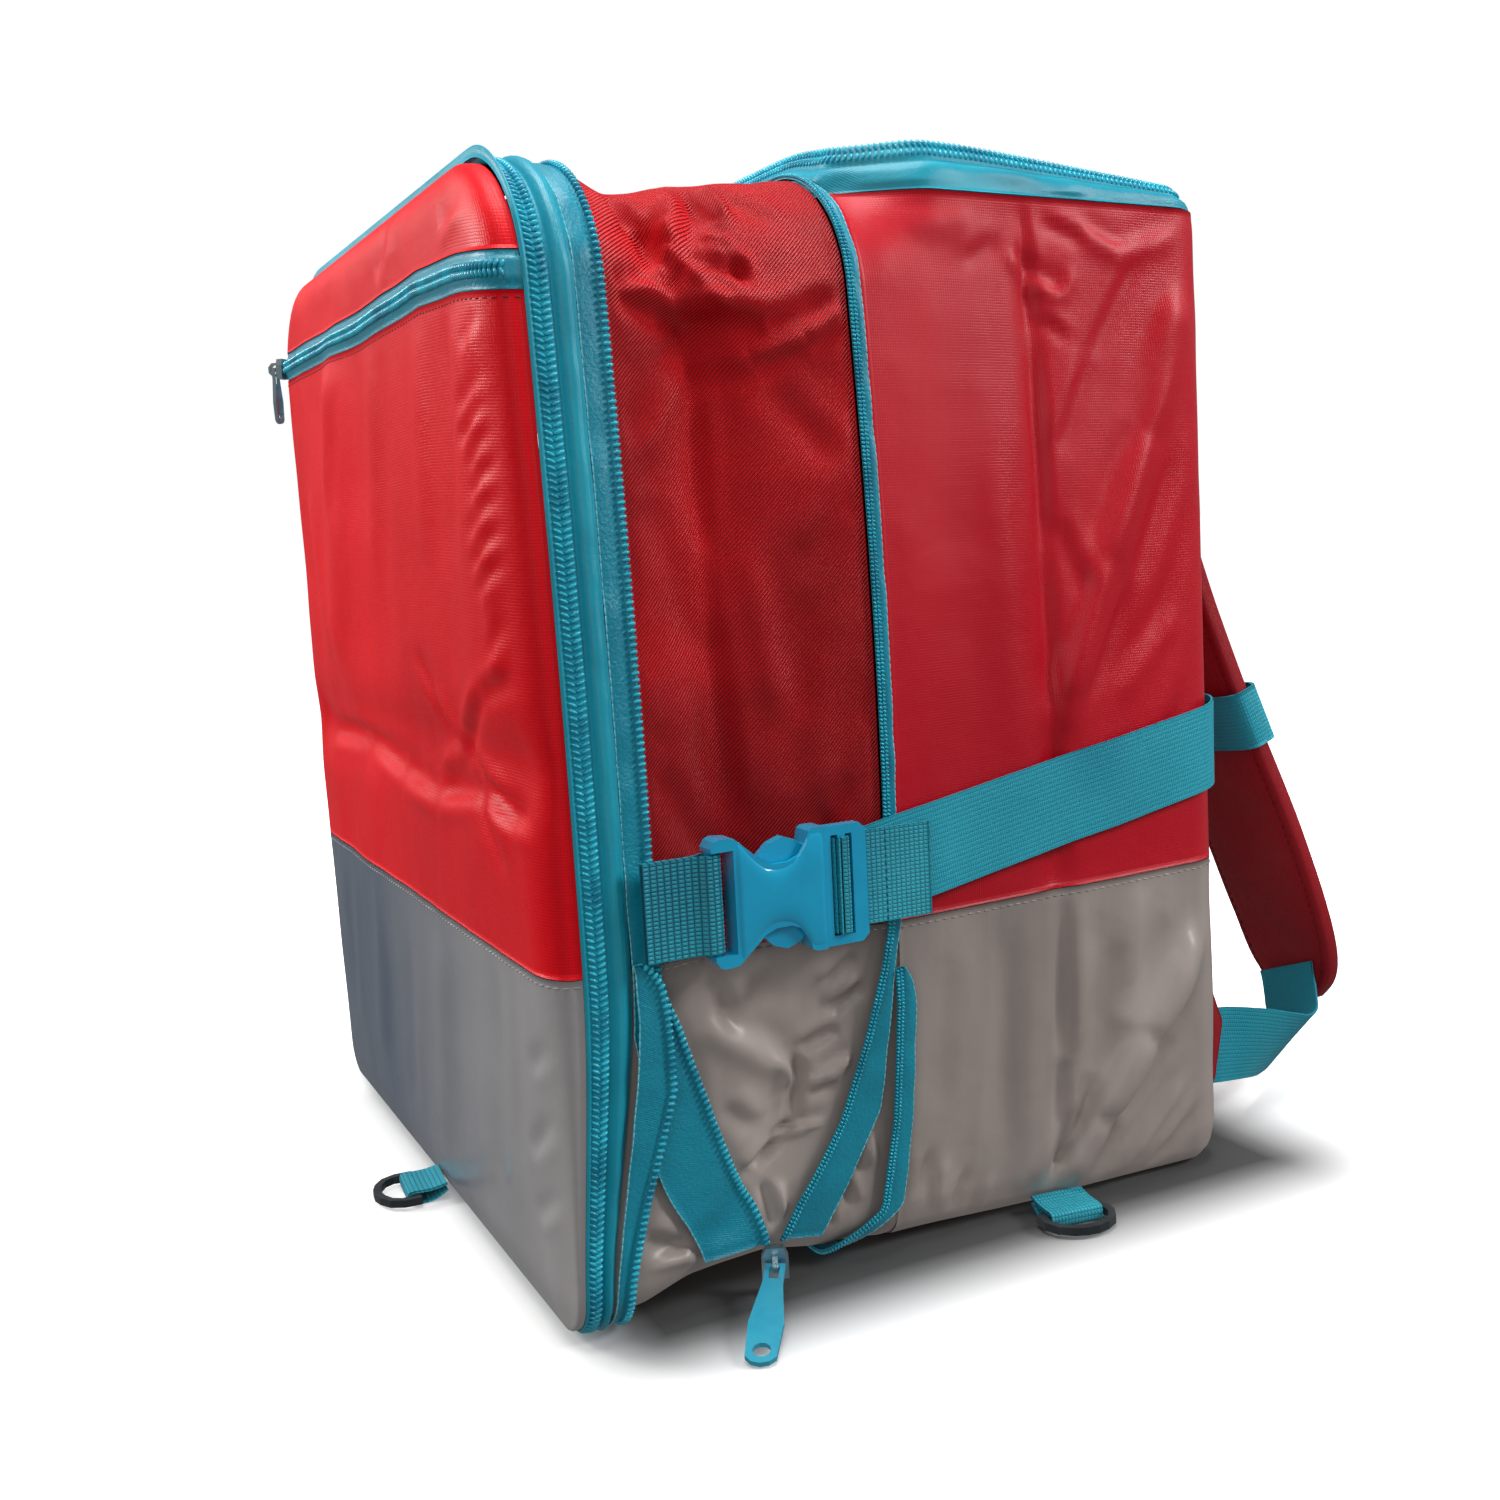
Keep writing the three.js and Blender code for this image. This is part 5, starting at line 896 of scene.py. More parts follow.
def gussetPiece(name, ends, sides, material, rowsOfWrinkles, seed, replaced):
    stops = ringStops(*ends, gusset["step"])
    yLow, yHigh = sides
    share = np.linspace(1, 0, gusset["across"])
    girth, across = np.meshgrid(stops, share, indexing="ij")
    y = yLow + (yHigh - yLow) * across
    grid = ringPoints(girth, y, 0 * y)
    normal = gridNormals(grid)
    level = girth - levelZero
    held = smooth(0, 0.06, across) * smooth(0, 0.06, 1 - across)
    height = wrinkles(rowsOfWrinkles, y, level) * held
    fromEdge = [share * (yHigh - yLow) / gusset["pucker"] for share in (across, 1 - across)]
    edge = np.exp(-(fromEdge[0] ** 2)) + np.exp(-(fromEdge[1] ** 2))
    height += edge * noise(level, across * 4, 9, seed) * 0.7 * held
    height += held * (noise(y, level, 30, seed + 1) * 1.0 + noise(y, level, 11, seed + 2) * 0.28)
    covered = underTapes(girth, y)
    height = height * (1 - covered) - 0.25 * covered
    grid = grid + normal * height[..., None]
    grid[..., 2] = np.maximum(grid[..., 2], 0.1)
    piece = shell(name, grid, gusset["thick"])
    dress(piece, finish[material], replaced=[replaced])
    return grid


def deeper(rows, share):
    return [(*row[:5], row[5] * share) for row in rows]


seamGirth = girthAtHeight(bag["seam"])
seamGap = gusset["gap"]
upperEnds = (seamGirth + seamGap, 2 * halfGirth - seamGirth - seamGap)
upperSides = (zones["gusset"][0] + seamGap, zones["gusset"][1] - seamGap)
gussetPiece("gusset_red_cloth", upperEnds, upperSides, "oxfordRed", upperWrinkles, 31,
            "gusset_upper")
lowerEnds = (-seamGirth + seamGap, seamGirth - seamGap)
lowerSides = (zones["openZipFront"][0] + seamGap, zones["openZipBack"][1] - seamGap)
lowerRows = deeper(lowerWrinkles, gusset["lowerDepth"])
lowerGrid = gussetPiece("gusset_grey_cloth", lowerEnds, lowerSides, "sideGrey", lowerRows, 41,
                        "gusset_lower")
nearSeam = lowerGrid[-2:-1].reshape(-1, 3)
seamOut = gridNormals(lowerGrid)[-2]
stitchLine("gusset_seam_stitches", nearSeam, seamOut, "threadGrey")
print("gusset ready")

# Body: near side, back and far side
bodySide = bag["backFace"] - bag["backRadius"] - bag["bodyStart"]
backArc = bag["backRadius"] * math.pi / 2
wallRun = 2 * bodySide + 2 * backArc + bag["width"] - 2 * bag["backRadius"]
body = {"thick": 5.4, "greyThick": 4.6, "nearStep": 2.4, "farStep": 6, "rows": 104, "greyDepth": 1.3}


def planAt(run, out):
    far = run > wallRun / 2
    near = np.where(far, wallRun - run, run)
    turn = np.clip(near - bodySide, 0, backArc) / bag["backRadius"]
    corner = near > bodySide
    cornerRadius = bag["backRadius"] + out
    x = np.where(corner, halfWidth - bag["backRadius"] + cornerRadius * np.cos(turn), halfWidth + out)
    cornerY = bag["backFace"] - bag["backRadius"] + cornerRadius * np.sin(turn)
    y = np.where(corner, cornerY, bag["bodyStart"] + near)
    x = x - np.maximum(near - bodySide - backArc, 0)
    return np.where(far, -x, x), y


def tuckCorner(points):
    x, y, z = points[..., 0], points[..., 1], points[..., 2]
    top = bag["topRadius"]
    rise = np.clip(np.minimum(z, bag["wallTop"]) - (bag["height"] - top), 0, top)
    inset = top - np.sqrt(top ** 2 - rise ** 2)
    fade = 1 - smooth(bag["bodyStart"], bag["bodyStart"] + 40, y)
    side = smooth(0.4, 1, 2 * np.abs(x) / bag["width"]) * np.sign(x)
    moved = points.copy()
    moved[..., 0] -= side * fade * inset
    return moved


def bodyPoints(run, z, out):
    run, z, out = np.broadcast_arrays(*(np.asarray(v, float) for v in (run, z, out)))
    x, y = planAt(run, out)
    return softened(tuckCorner(np.stack([x, y, z], -1)))


def bodyShare(y):
    return np.clip((y - bag["bodyStart"]) / (bag["backFace"] - bag["bodyStart"]), 0, 1)


def wallTop(y):
    return bag["wallTop"] - bag["lidBackDrop"] / 5 * bodyShare(y)


farSide = wallRun - bodySide
wallStops = np.concatenate([
    np.arange(0, bodySide, body["nearStep"]), bodySide + np.linspace(0, backArc, 12)[:-1],
    np.arange(bodySide + backArc, farSide - backArc, body["farStep"]), farSide - np.linspace(backArc, 0, 8),
    np.arange(farSide + 6, wallRun, body["farStep"]), [wallRun]])
# y1, z1, y2, z2, reach, depth
bodyWrinkles = [
    (64, 436, 67, 380, 3, 1.6), (67, 380, 66, 290, 3.2, 1.8), (66, 290, 67, 212, 3.2, 1.4),
    (56, 414, 66, 404, 3, -1.6), (66, 404, 82, 396, 3.4, -2), (82, 396, 88, 408, 3, -1.4),
    (70, 388, 84, 380, 3, 1.4), (72, 230, 96, 286, 5, -2.4), (96, 286, 124, 340, 6, -2.4),
    (124, 340, 150, 402, 7, -2), (84, 226, 112, 276, 4, 2.2), (112, 276, 140, 330, 5, 1.6),
    (76, 332, 96, 372, 5, 1.6), (96, 372, 128, 420, 5, 1.8), (110, 330, 152, 398, 5, 1.4),
    (92, 424, 116, 414, 4, -1.8), (116, 414, 150, 426, 5, -1.6), (74, 428, 96, 420, 3, 1.6),
    (72, 306, 84, 272, 5, 1.4), (122, 250, 160, 320, 6, 1.8), (20, 366, 24, 180, 13, 1),
    (42, 336, 47, 200, 8, -0.9), (102, 226, 140, 262, 6, -1.4), (66, 214, 70, 160, 3.5, 1.4),
    (132, 205, 160, 252, 6, 1.2), (8, 424, 40, 428, 6, -1.2), (154, 300, 158, 220, 5, 1),
    (34, 410, 52, 420, 4, 1.2),
]
greyWrinkles = [
    (66, 8, 88, 38, 5, -3.6), (88, 38, 114, 72, 7, -4), (114, 72, 146, 112, 9, -3.4),
    (66, 6, 84, 60, 6, 2.6), (84, 60, 100, 118, 8, 2.2), (76, 4, 100, 34, 3.6, 3.2),
    (100, 34, 132, 68, 4.5, 2.8), (57, 12, 84, 52, 4, 2.6), (118, 62, 162, 104, 5, 2.2),
    (70, 142, 68, 70, 4.2, 2.8), (68, 70, 65, 12, 4.2, 3), (98, 6, 138, 46, 4, -2.2),
    (120, 6, 158, 40, 3.4, 2.2), (-7, 22, -2, 42, 2.6, 2), (2, 16, 6, 36, 2.6, -1.8),
    (10, 10, 17, 28, 2.6, 1.8), (24, 6, 30, 22, 2.6, -1.4), (20, 140, 15, 40, 10, -1.6),
    (40, 134, 36, 28, 8, 1.6), (148, 66, 152, 20, 3.4, 1.6), (156, 134, 142, 74, 5, -1.6),
    (4, 130, 2, 60, 7, 1.2), (90, 134, 86, 80, 8, 1.2), (112, 140, 106, 96, 6, -1),
]


def bodyRelief(name, grid, run, z, rows, seed, thick, material, replaced):
    _, y = planAt(run, 0)
    near = 1 - smooth(bodySide - 12, bodySide + 8, run)
    normal = gridNormals(grid)
    height = wrinkles(rows, y, z) * near
    height += 0.8 * noise(run, z, 42, seed) + 0.22 * noise(run, z * 0.6, 13, seed + 1)
    lowEdge, highEdge = smooth(0, 8, z - z.min(1, keepdims=True)), smooth(0, 8, z.max(1, keepdims=True) - z)
    height *= lowEdge * highEdge * smooth(2, 12, run) * smooth(2, 12, wallRun - run)
    grid = grid + normal * height[..., None]
    grid[..., 2] = np.maximum(grid[..., 2], 0.1)
    piece = shell(name, grid, thick)
    dress(piece, finish[material], replaced=[replaced])
    return grid


run, share = np.meshgrid(wallStops, np.linspace(0, 1, body["rows"]), indexing="ij")
_, wallY = planAt(run, 0)
wallZ = bag["seam"] + 0.15 + (wallTop(wallY) - 0.3 - bag["seam"] - 0.15) * share
bodyRelief("body_red_cloth", bodyPoints(run, wallZ, 0), run, wallZ, bodyWrinkles, 51, body["thick"],
           "satinRed", "body_wall")
footZ = 0.3 + 17.7 * np.array([0, 0.03, 0.08, 0.15, 0.25, 0.38, 0.55, 0.75])
footInset = np.interp(footZ - 0.3, [0, 2.52, 7.56, 18], [13.3, 6.5, 2.16, 0])
levels = np.concatenate([footZ, np.linspace(18.3, bag["seam"] - 0.15, 46)])
insets = np.concatenate([footInset, np.zeros(46)])
run, column = np.meshgrid(wallStops, np.arange(len(levels)), indexing="ij")
greyRows = deeper(greyWrinkles, body["greyDepth"])
greyZ = levels[column]
greyGrid = bodyRelief("body_grey_cloth", bodyPoints(run, greyZ, -insets[column]), run, greyZ,
                      greyRows, 61, body["greyThick"], "sideGrey", "body_grey_band")
greyOut = gridNormals(greyGrid)
stitchLine("body_seam_stitches", greyGrid[:, -2], greyOut[:, -2], "threadGrey", lift=0.15)
print("body ready")

# Lid: the zip round its edge, then the red panel
lid = {
    "thick": 4.2, "dome": 5.6, "sideSteps": (46, 64, 26, 56), "cornerSteps": 8,
    "profile": [(0.02, 0), (0.08, 0.45), (0.28, 0.84), (0.4, 1.1), (0.72, 1.12), (0.82, 0.96), (1, 0.92)],
    "wave": 1.0, "cornerDrop": 5.5, "teethAt": (0.34, 0.46), "tooth": (1.9, 0.8, 0.95), "pitch": 2.5,
}


def roundedPlan(inset):
    middle, reach = (bag["bodyStart"] + bag["backFace"]) / 2, (bag["backFace"] - bag["bodyStart"]) / 2
    corners = []
    for signX, signY, radius, start in ((1, -1, bag["lidCorner"], -90), (1, 1, bag["backRadius"], 0),
                                        (-1, 1, bag["backRadius"], 90), (-1, -1, bag["lidCorner"], 180)):
        outer = max(radius, inset + 1)
        turn = np.radians(start + np.linspace(0, 90, lid["cornerSteps"]))
        x = signX * (halfWidth - outer) + (outer - inset) * np.cos(turn)
        y = middle + signY * (reach - outer) + (outer - inset) * np.sin(turn)
        corners.append(np.stack([x, y], -1))
    points = []
    for i, steps in enumerate(lid["sideSteps"]):
        share = (np.arange(1, steps) / steps)[:, None]
        first, last = corners[i][-1], corners[(i + 1) % 4][0]
        points += [corners[i], first * (1 - share) + last * share]
    return np.concatenate(points)


def lidFoot(x, y):
    over = np.clip(np.abs(x) - topFlat, 0, bag["topRadius"])
    arc = bag["height"] - bag["topRadius"] + np.sqrt(bag["topRadius"] ** 2 - over ** 2) - 1.4
    ahead = 1 - smooth(bag["bodyStart"], bag["bodyStart"] + bag["lidCorner"], y)
    return wallTop(y) * (1 - ahead) + np.maximum(wallTop(y), arc) * ahead


def lidCrest(y):
    return bag["lidCrest"] - bag["lidBackDrop"] * bodyShare(y)


lidShares = np.linspace(0, 1, 40)
lidRows = np.array(lid["profile"])
lidMarks = np.linspace(0, 1, len(lidRows))
lidInsets = np.interp(lidShares, lidMarks, lidRows[:, 0]) * bag["lidZip"] + 0.3
lidRises = np.interp(lidShares, lidMarks, lidRows[:, 1])
plans = np.stack([roundedPlan(inset) for inset in lidInsets], 1)
lidX, lidY = plans[..., 0], plans[..., 1]
lidZ = (lidFoot(lidX, lidY) + 0.3) * (1 - lidRises) + lidCrest(lidY) * lidRises
fromCorner = np.hypot(halfWidth - np.abs(lidX), lidY - bag["bodyStart"])
lidZ = lidZ - lid["cornerDrop"] * lidRises * np.exp(-((fromCorner / 34) ** 2))
lidZipGrid = softened(tuckCorner(np.stack([lidX, lidY, lidZ], -1)))
lidOut = gridNormals(lidZipGrid, True)
lidRun = np.arange(len(lidZipGrid))[:, None] * 4.0
tapeArea = smooth(0.02, 0.07, lidShares) * (1 - smooth(0.2, 0.27, lidShares))
ridgeArea = smooth(0.26, 0.3, lidShares) * (1 - smooth(0.5, 0.54, lidShares))
lidRelief = tapeArea * (0.5 + lid["wave"] * noise(lidRun, lidShares[None] * 60, 16, 71)) + 0.5 * ridgeArea
lidRelief = lidRelief - 0.7 * np.exp(-(((lidShares - 0.265) / 0.018) ** 2))
lidZipGrid = lidZipGrid + lidOut * lidRelief[..., None]
lidZip = shell("lid_zip_tape", lidZipGrid, 1.3, closed=True)
dress(lidZip, finish["zipTape"], replaced=["lid_zip"])
rows = []
for at, slant in zip(lid["teethAt"], (0.3, -0.3)):
    column = int(round(at * (len(lidShares) - 1)))
    line = np.concatenate([lidZipGrid[:, column], lidZipGrid[:1, column]])
    out = np.concatenate([lidOut[:, column], lidOut[:1, column]])
    rows.append(beads(line + out * 0.2, out, lid["pitch"], lid["tooth"], slant))
dress(joinedBeads("lid_zip_teeth", rows), finish["teethBlue"])

edgePlan = roundedPlan(bag["lidZip"] + 0.6)
scales = np.linspace(1, 0.012, 26)
domes = np.interp(scales, [0, 0.25, 0.55, 0.85, 1], [1, 1, 0.85, 0.45, 0])
lidMiddle = (bag["bodyStart"] + bag["backFace"]) / 2
edgeX, edgeY = edgePlan[:, :1], edgePlan[:, 1:]
rim = (lidFoot(edgeX, edgeY) + 0.3) * 0.1 + lidCrest(edgeY) * 0.9
panelX = edgeX * scales
panelY = lidMiddle * (1 - scales) + edgeY * scales
panelZ = (lidCrest(lidMiddle) - 2) * (1 - scales) + rim * scales + lid["dome"] * domes
lidGrid = softened(tuckCorner(np.stack([panelX, panelY, panelZ], -1)))
sunk = smooth(0.0, 0.16, 1 - scales)
lidNoise = 1.0 * noise(panelX, panelY, 46, 81) + 0.35 * noise(panelX, panelY, 17, 82)
lidGrid[..., 2] += sunk * lidNoise - 0.8 * sunk
lidPanel = shell("lid_cloth", lidGrid, lid["thick"], closed=True, cap=True)
dress(lidPanel, finish["satinRed"], replaced=["lid_panel"])
print("lid ready")

# Base: a quilted plate inside the foot of the grey band
base = {"reach": 169.88, "back": 147.38, "corner": 6, "top": 3.4, "thick": 3.0, "quilt": 30}
baseA, baseB = np.meshgrid(np.linspace(-1, 1, 60), np.linspace(0, 1, 31), indexing="ij")
baseY = (bag["bodyStart"] + 0.3) * (1 - baseB) + base["back"] * baseB
baseX = baseA * (base["reach"] - np.maximum(baseY - base["back"] + base["corner"], 0))
baseGrid = softened(np.stack([baseX, baseY, 0 * baseX], -1))
quiltX, quiltY = (np.abs(np.sin(value * math.pi / base["quilt"])) for value in (baseX, baseY))
seam = np.minimum(quiltX, quiltY)
baseGrid[..., 2] = base["top"] - 0.5 * (1 - smooth(0, 0.35, seam))
baseCloth = shell("base_cloth", baseGrid, base["thick"])
dress(baseCloth, finish["satinRed"], replaced=["base_panel"])

# Webbing on the near side, in plan points (x, y)
webbing = {"width": 38, "thick": 1.3, "rise": 0.155, "start": -105.5, "length": 67}
webbing["level"] = bag["seam"] + 0.62 * webbing["width"] - 1
buckle = {"thick": 10, "loopBar": 3.6, "split": 48, "rail": 4.8, "slot": 3, "bar": 3.4}


def sideX(y, z):
    return softened(np.array([halfWidth, y, z], float))[0]


strapX = max(sideX(webbing["start"], webbing["level"]), sideX(bag["bodyStart"], webbing["level"])) + 5.2
buckleInner = strapX - buckle["thick"] * 0.14
maleInner = buckleInner + buckle["thick"] - buckle["rail"] - 0.6


def ribbon(name, middles, ups, width, thick, columns=17):
    along = np.gradient(middles, axis=0)
    along /= np.linalg.norm(along, axis=-1, keepdims=True)
    ups = ups - along * (ups * along).sum(-1, keepdims=True)
    ups /= np.linalg.norm(ups, axis=-1, keepdims=True)
    through = np.cross(along, ups)
    across = np.sin(np.linspace(-math.pi / 2, math.pi / 2, columns)) * width / 2
    grid = middles[:, None] + ups[:, None] * across[None, :, None] + through[:, None] * thick / 2
    piece = shell(name, grid, thick)
    return piece, grid


def tabHeight(y):
    return np.full_like(y, webbing["level"])


def planRibbon(name, route, level, count, material):
    line = smoothPath(route, count)
    height = level(line[:, 1])
    middles = np.stack([line[:, 0], line[:, 1], height], -1)
    ups = np.tile([0.0, 0.0, 1.0], (count, 1))
    piece, grid = ribbon(name, middles, ups, webbing["width"], webbing["thick"])
    dress(piece, finish[material], replaced=[name.replace("_webbing", "")])
    return grid


barX, barY = buckleInner + buckle["thick"] / 2, webbing["start"] + buckle["loopBar"] / 2
wrap = buckle["loopBar"] / 2 + webbing["thick"] / 2 + 0.9
apart = webbing["thick"] / 2 + 0.25
tabFoot = yIn("openZipFront", 0.3)
turns = np.radians([90, 45, 0, -45, -90])
tabRoute = [(barX + apart, tabFoot), (barX + apart, barY - wrap * 2.6), (barX + wrap, barY - wrap * 0.9)]
tabRoute += [(barX + wrap * math.sin(turn), barY + wrap * math.cos(turn)) for turn in turns]
tabRoute += [(barX - wrap, barY - wrap * 0.9), (barX - apart, barY - wrap * 2.6), (barX - apart, tabFoot)]
planRibbon("strap_tab_webbing", tabRoute, tabHeight, 90, "ladderWebbing")


def strapHeight(y):
    return webbing["level"] + webbing["rise"] * np.maximum(0, y - webbing["start"] - webbing["length"])


def onBody(run):
    x, y = (float(value) for value in planAt(np.array(float(run)), 0))
    swell = softened(np.array([x, y, float(strapHeight(y))]))
    turn = min(max((run - bodySide) / backArc, 0), 1) * math.pi / 2
    blend = float(smooth(0, bodySide * 0.4, run))
    stand = (webbing["thick"] / 2 + 2.4) * (1 - blend) + (webbing["thick"] / 2 + 1.9) * blend
    return swell[0] + stand * math.cos(turn), swell[1] + stand * math.sin(turn)


slotOne = buckle["split"] + 0.3 + 3
slotTwo = slotOne + buckle["slot"] + buckle["bar"]
outerX = maleInner + buckle["rail"] + webbing["thick"] / 2 + 0.6
strapInner = maleInner - 1.5 * webbing["thick"] - 1.1
slotA, slotB = (webbing["start"] + start + buckle["slot"] / 2 for start in (slotOne, slotTwo))
longRoute = [(outerX, slotA + 1.8), (outerX - 0.3, slotA + 0.4), (maleInner + buckle["rail"] / 2, slotA),
             (strapInner + 0.8, slotA + 0.4), (strapInner, slotA + 3),
             (strapInner, webbing["start"] + webbing["length"])]
longRoute += [onBody(share * bodySide) for share in (0.02, 0.12, 0.3, 0.42, 0.56, 0.7, 0.85, 1)]
longRoute += [onBody(bodySide + share * backArc) for share in (0.33, 0.67, 1)]
longRoute += [onBody(bodySide + backArc + webbing["width"])]
planRibbon("side_strap_webbing", longRoute, strapHeight, 170, "ribWebbing")
freeX = strapInner + webbing["thick"] + 0.5
freeEnd = webbing["start"] + webbing["length"] + 32
freeRoute = [(outerX, slotA + 1.8 + 0.56), (outerX, slotB - 1.2),
             (maleInner + buckle["rail"] / 2, slotB - 0.3),
             (freeX + 0.9, slotB), (freeX, slotB + 1.2), (freeX + 0.6, freeEnd - 28), (freeX + 1.4, freeEnd)]
freeGrid = planRibbon("strap_free_end_webbing", freeRoute, tabHeight, 80, "gridWebbing")
hemLine = freeGrid[-10]
hemOut = gridNormals(freeGrid)[-10]
stitchLine("free_end_stitches", hemLine, hemOut, "threadBlue", 3.0, (0.35, 1.1, 0.3), 0.1)
print("webbing ready")

# Shoulder straps: x as a share of half the width, out in strap thicknesses, z as a share, width
strap = {"width": 72, "thick": 12, "samples": 110, "around": 44, "edge": 4.5, "band": 30}
strapRows = np.array([
    (0.3, 0.02, 0.93, 1), (0.32, 0.13, 0.88, 1), (0.39, 1.4, 0.77, 1), (0.45, 2.9, 0.67, 1),
    (0.5, 4.1, 0.55, 1), (0.54, 5.6, 0.43, 1), (0.57, 7.4, 0.31, 1), (0.59, 8.9, 0.2, 0.96),
    (0.6, 9.7, 0.13, 0.82), (0.6, 9.9, 0.09, 0.5),
])


def strapFrame(sign):
    middles = np.stack([sign * strapRows[:, 0] * halfWidth,
                        bag["backFace"] + 0.3 + strap["thick"] * (0.5 + strapRows[:, 1]),
                        strapRows[:, 2] * bag["height"], strapRows[:, 3]], -1)
    line = smoothPath(middles, strap["samples"])
    along = np.gradient(line[:, :3], axis=0)
    along /= np.linalg.norm(along, axis=-1, keepdims=True)
    across = np.tile([1.0, 0.0, 0.0], (len(line), 1))
    across -= along * (across * along).sum(-1, keepdims=True)
    across /= np.linalg.norm(across, axis=-1, keepdims=True)
    return line[:, :3], line[:, 3], along, across, np.cross(along, across)


def superEllipse(count, power):
    turn = np.linspace(0, 2 * math.pi, count, endpoint=False)
    a = np.sign(np.cos(turn)) * np.abs(np.cos(turn)) ** power
    b = np.sign(np.sin(turn)) * np.abs(np.sin(turn)) ** power
    return a, b


# A closed form through rings of points, with flat ends
def tube(name, grid, uvScale=0.01):
    rows, cols = grid.shape[:2]
    index = np.arange(rows * cols).reshape(rows, cols)
    wrapped = np.concatenate([index, index[:, :1]], 1)
    sides = np.stack([wrapped[:-1, :-1], wrapped[1:, :-1], wrapped[1:, 1:], wrapped[:-1, 1:]], -1)
    faces = sides.reshape(-1, 4).tolist() + [index[0].tolist(), index[-1][::-1].tolist()]
    stepU = np.concatenate([[0], np.cumsum(np.linalg.norm(np.diff(grid, axis=0), axis=-1).mean(1))])
    stepV = np.concatenate([[0], np.cumsum(np.linalg.norm(np.diff(grid, axis=1), axis=-1).max(0))])
    uv = np.stack(np.meshgrid(stepU, stepV, indexing="ij"), -1).reshape(-1, 2) * uvScale
    return meshObject(name, grid.reshape(-1, 3), faces, uv)


def shoulderStrap(name, sign):
    middle, wide, _, across, through = strapFrame(sign)
    a, b = superEllipse(strap["around"], 0.42)
    half = wide * strap["width"] / 2
    reach = np.abs(a)[None] * half[:, None]
    inward = half[:, None] - reach
    pad = 1 - 0.16 * np.exp(-(((inward - strap["edge"]) / 1.4) ** 2))
    run = np.arange(len(middle))[:, None] * 4.0
    puff = 1 + 0.05 * noise(run, a[None] * 40, 22, 91)
    ends = np.ones(len(middle))
    ends[:4] = [0.55, 0.8, 0.93, 1]
    ends[-4:] = [1, 0.93, 0.8, 0.55]
    thick = strap["thick"] / 2 * b[None] * pad * puff * ends[:, None]
    sideways = across[:, None] * (a[None] * half[:, None])[..., None]
    grid = middle[:, None] + sideways + through[:, None] * thick[..., None]
    piece = tube(name + "_pad", grid)
    dress(piece, finish["strapRed"], replaced=[name])
    rows = []
    for edge in (-1, 1):
        for face in (-1, 1):
            off = edge * (half - strap["edge"])
            lift = face * strap["thick"] / 2 * 0.83
            line = middle + across * off[:, None] + through * lift
            rows.append(beads(line[5:-5], through[5:-5] * face, 4.6, (0.35, 1.5, 0.35)))
    dress(joinedBeads(name + "_stitches", rows), finish["threadRed"])


def strapBand(name, sign):
    middle, _, along, across, through = strapFrame(sign)
    level = 0.437 * bag["height"]
    at = int(np.argmin(np.abs(middle[:, 2] - level)))
    a, b = superEllipse(60, 0.42)
    outX, outY = strap["width"] / 2 + 1.2 + webbing["thick"], strap["thick"] / 2 + 1.6 + webbing["thick"]
    shares = np.linspace(-0.5, 0.5, 15)
    grid = middle[at] + across[at] * (a * outX)[:, None, None] + through[at] * (b * outY)[:, None, None] \
        + along[at] * (shares * strap["band"])[None, :, None]
    piece = shell(name + "_webbing", grid, webbing["thick"], closed=True, flip=True)
    dress(piece, finish["ribWebbing"], replaced=[name])


# Corner wings: out from the back and level, as shares of the wing's height
wing = {"height": 84, "thick": 3, "foot": 14, "x": 165}
wingEdge = np.array([(0.1, 0), (0.2, 0.16), (0.26, 0.5), (0.19, 0.68), (0.16, 0.92), (0.02, 1)])


def cornerWing(name, sign):
    a, t = np.meshgrid(np.linspace(0, 1, 16), np.linspace(0.01, 1, 40), indexing="ij")
    reach = np.interp(t, wingEdge[:, 1], wingEdge[:, 0]) * wing["height"]
    x = sign * (wing["x"] + wing["thick"] - 0.5 * smooth(0.75, 1, a) + 0.25 * noise(a * 20, t * 80, 9, 95))
    grid = np.stack([x, bag["backFace"] + 0.3 + a * reach, wing["foot"] + t * wing["height"]], -1)
    piece = shell(name + "_cloth", grid, wing["thick"] - 0.7, flip=sign < 0)
    dress(piece, finish["strapRed"], replaced=[name])


adjusterRows = np.array([
    (0.863, 0.09, 0.096, 0), (0.863, 0.22, 0.093, 0), (0.855, 0.4, 0.084, 0.2), (0.82, 0.59, 0.07, 0.42),
    (0.77, 0.76, 0.06, 0.64), (0.71, 0.89, 0.066, 0.82), (0.65, 0.965, 0.093, 0.96),
    (0.62, 0.985, 0.125, 1),
])


def adjusterWebbing(name, sign):
    rows = smoothPath(adjusterRows, 70)
    reach = strap["thick"] * 9.7 - webbing["thick"]
    middles = np.stack([sign * rows[:, 0] * halfWidth, bag["backFace"] + rows[:, 1] * reach,
                        rows[:, 2] * bag["height"]], -1)
    lean = np.clip(rows[:, 3], 0, 1)
    ups = np.stack([sign * lean, 0 * lean, np.sqrt(1 - lean ** 2)], -1)
    ups[-12:, 2] = np.maximum(ups[-12:, 2], 0.02)
    piece, _ = ribbon(name, middles, ups, webbing["width"], webbing["thick"])
    dress(piece, finish["ribWebbing"], replaced=[name.replace("_strip", "")])


for side, sign in (("right", 1), ("left", -1)):
    shoulderStrap("shoulder_strap_" + side, sign)
    strapBand("strap_band_" + side, sign)
    cornerWing("corner_wing_" + side, sign)
    adjusterWebbing("adjuster_webbing_" + side + "_strip", sign)

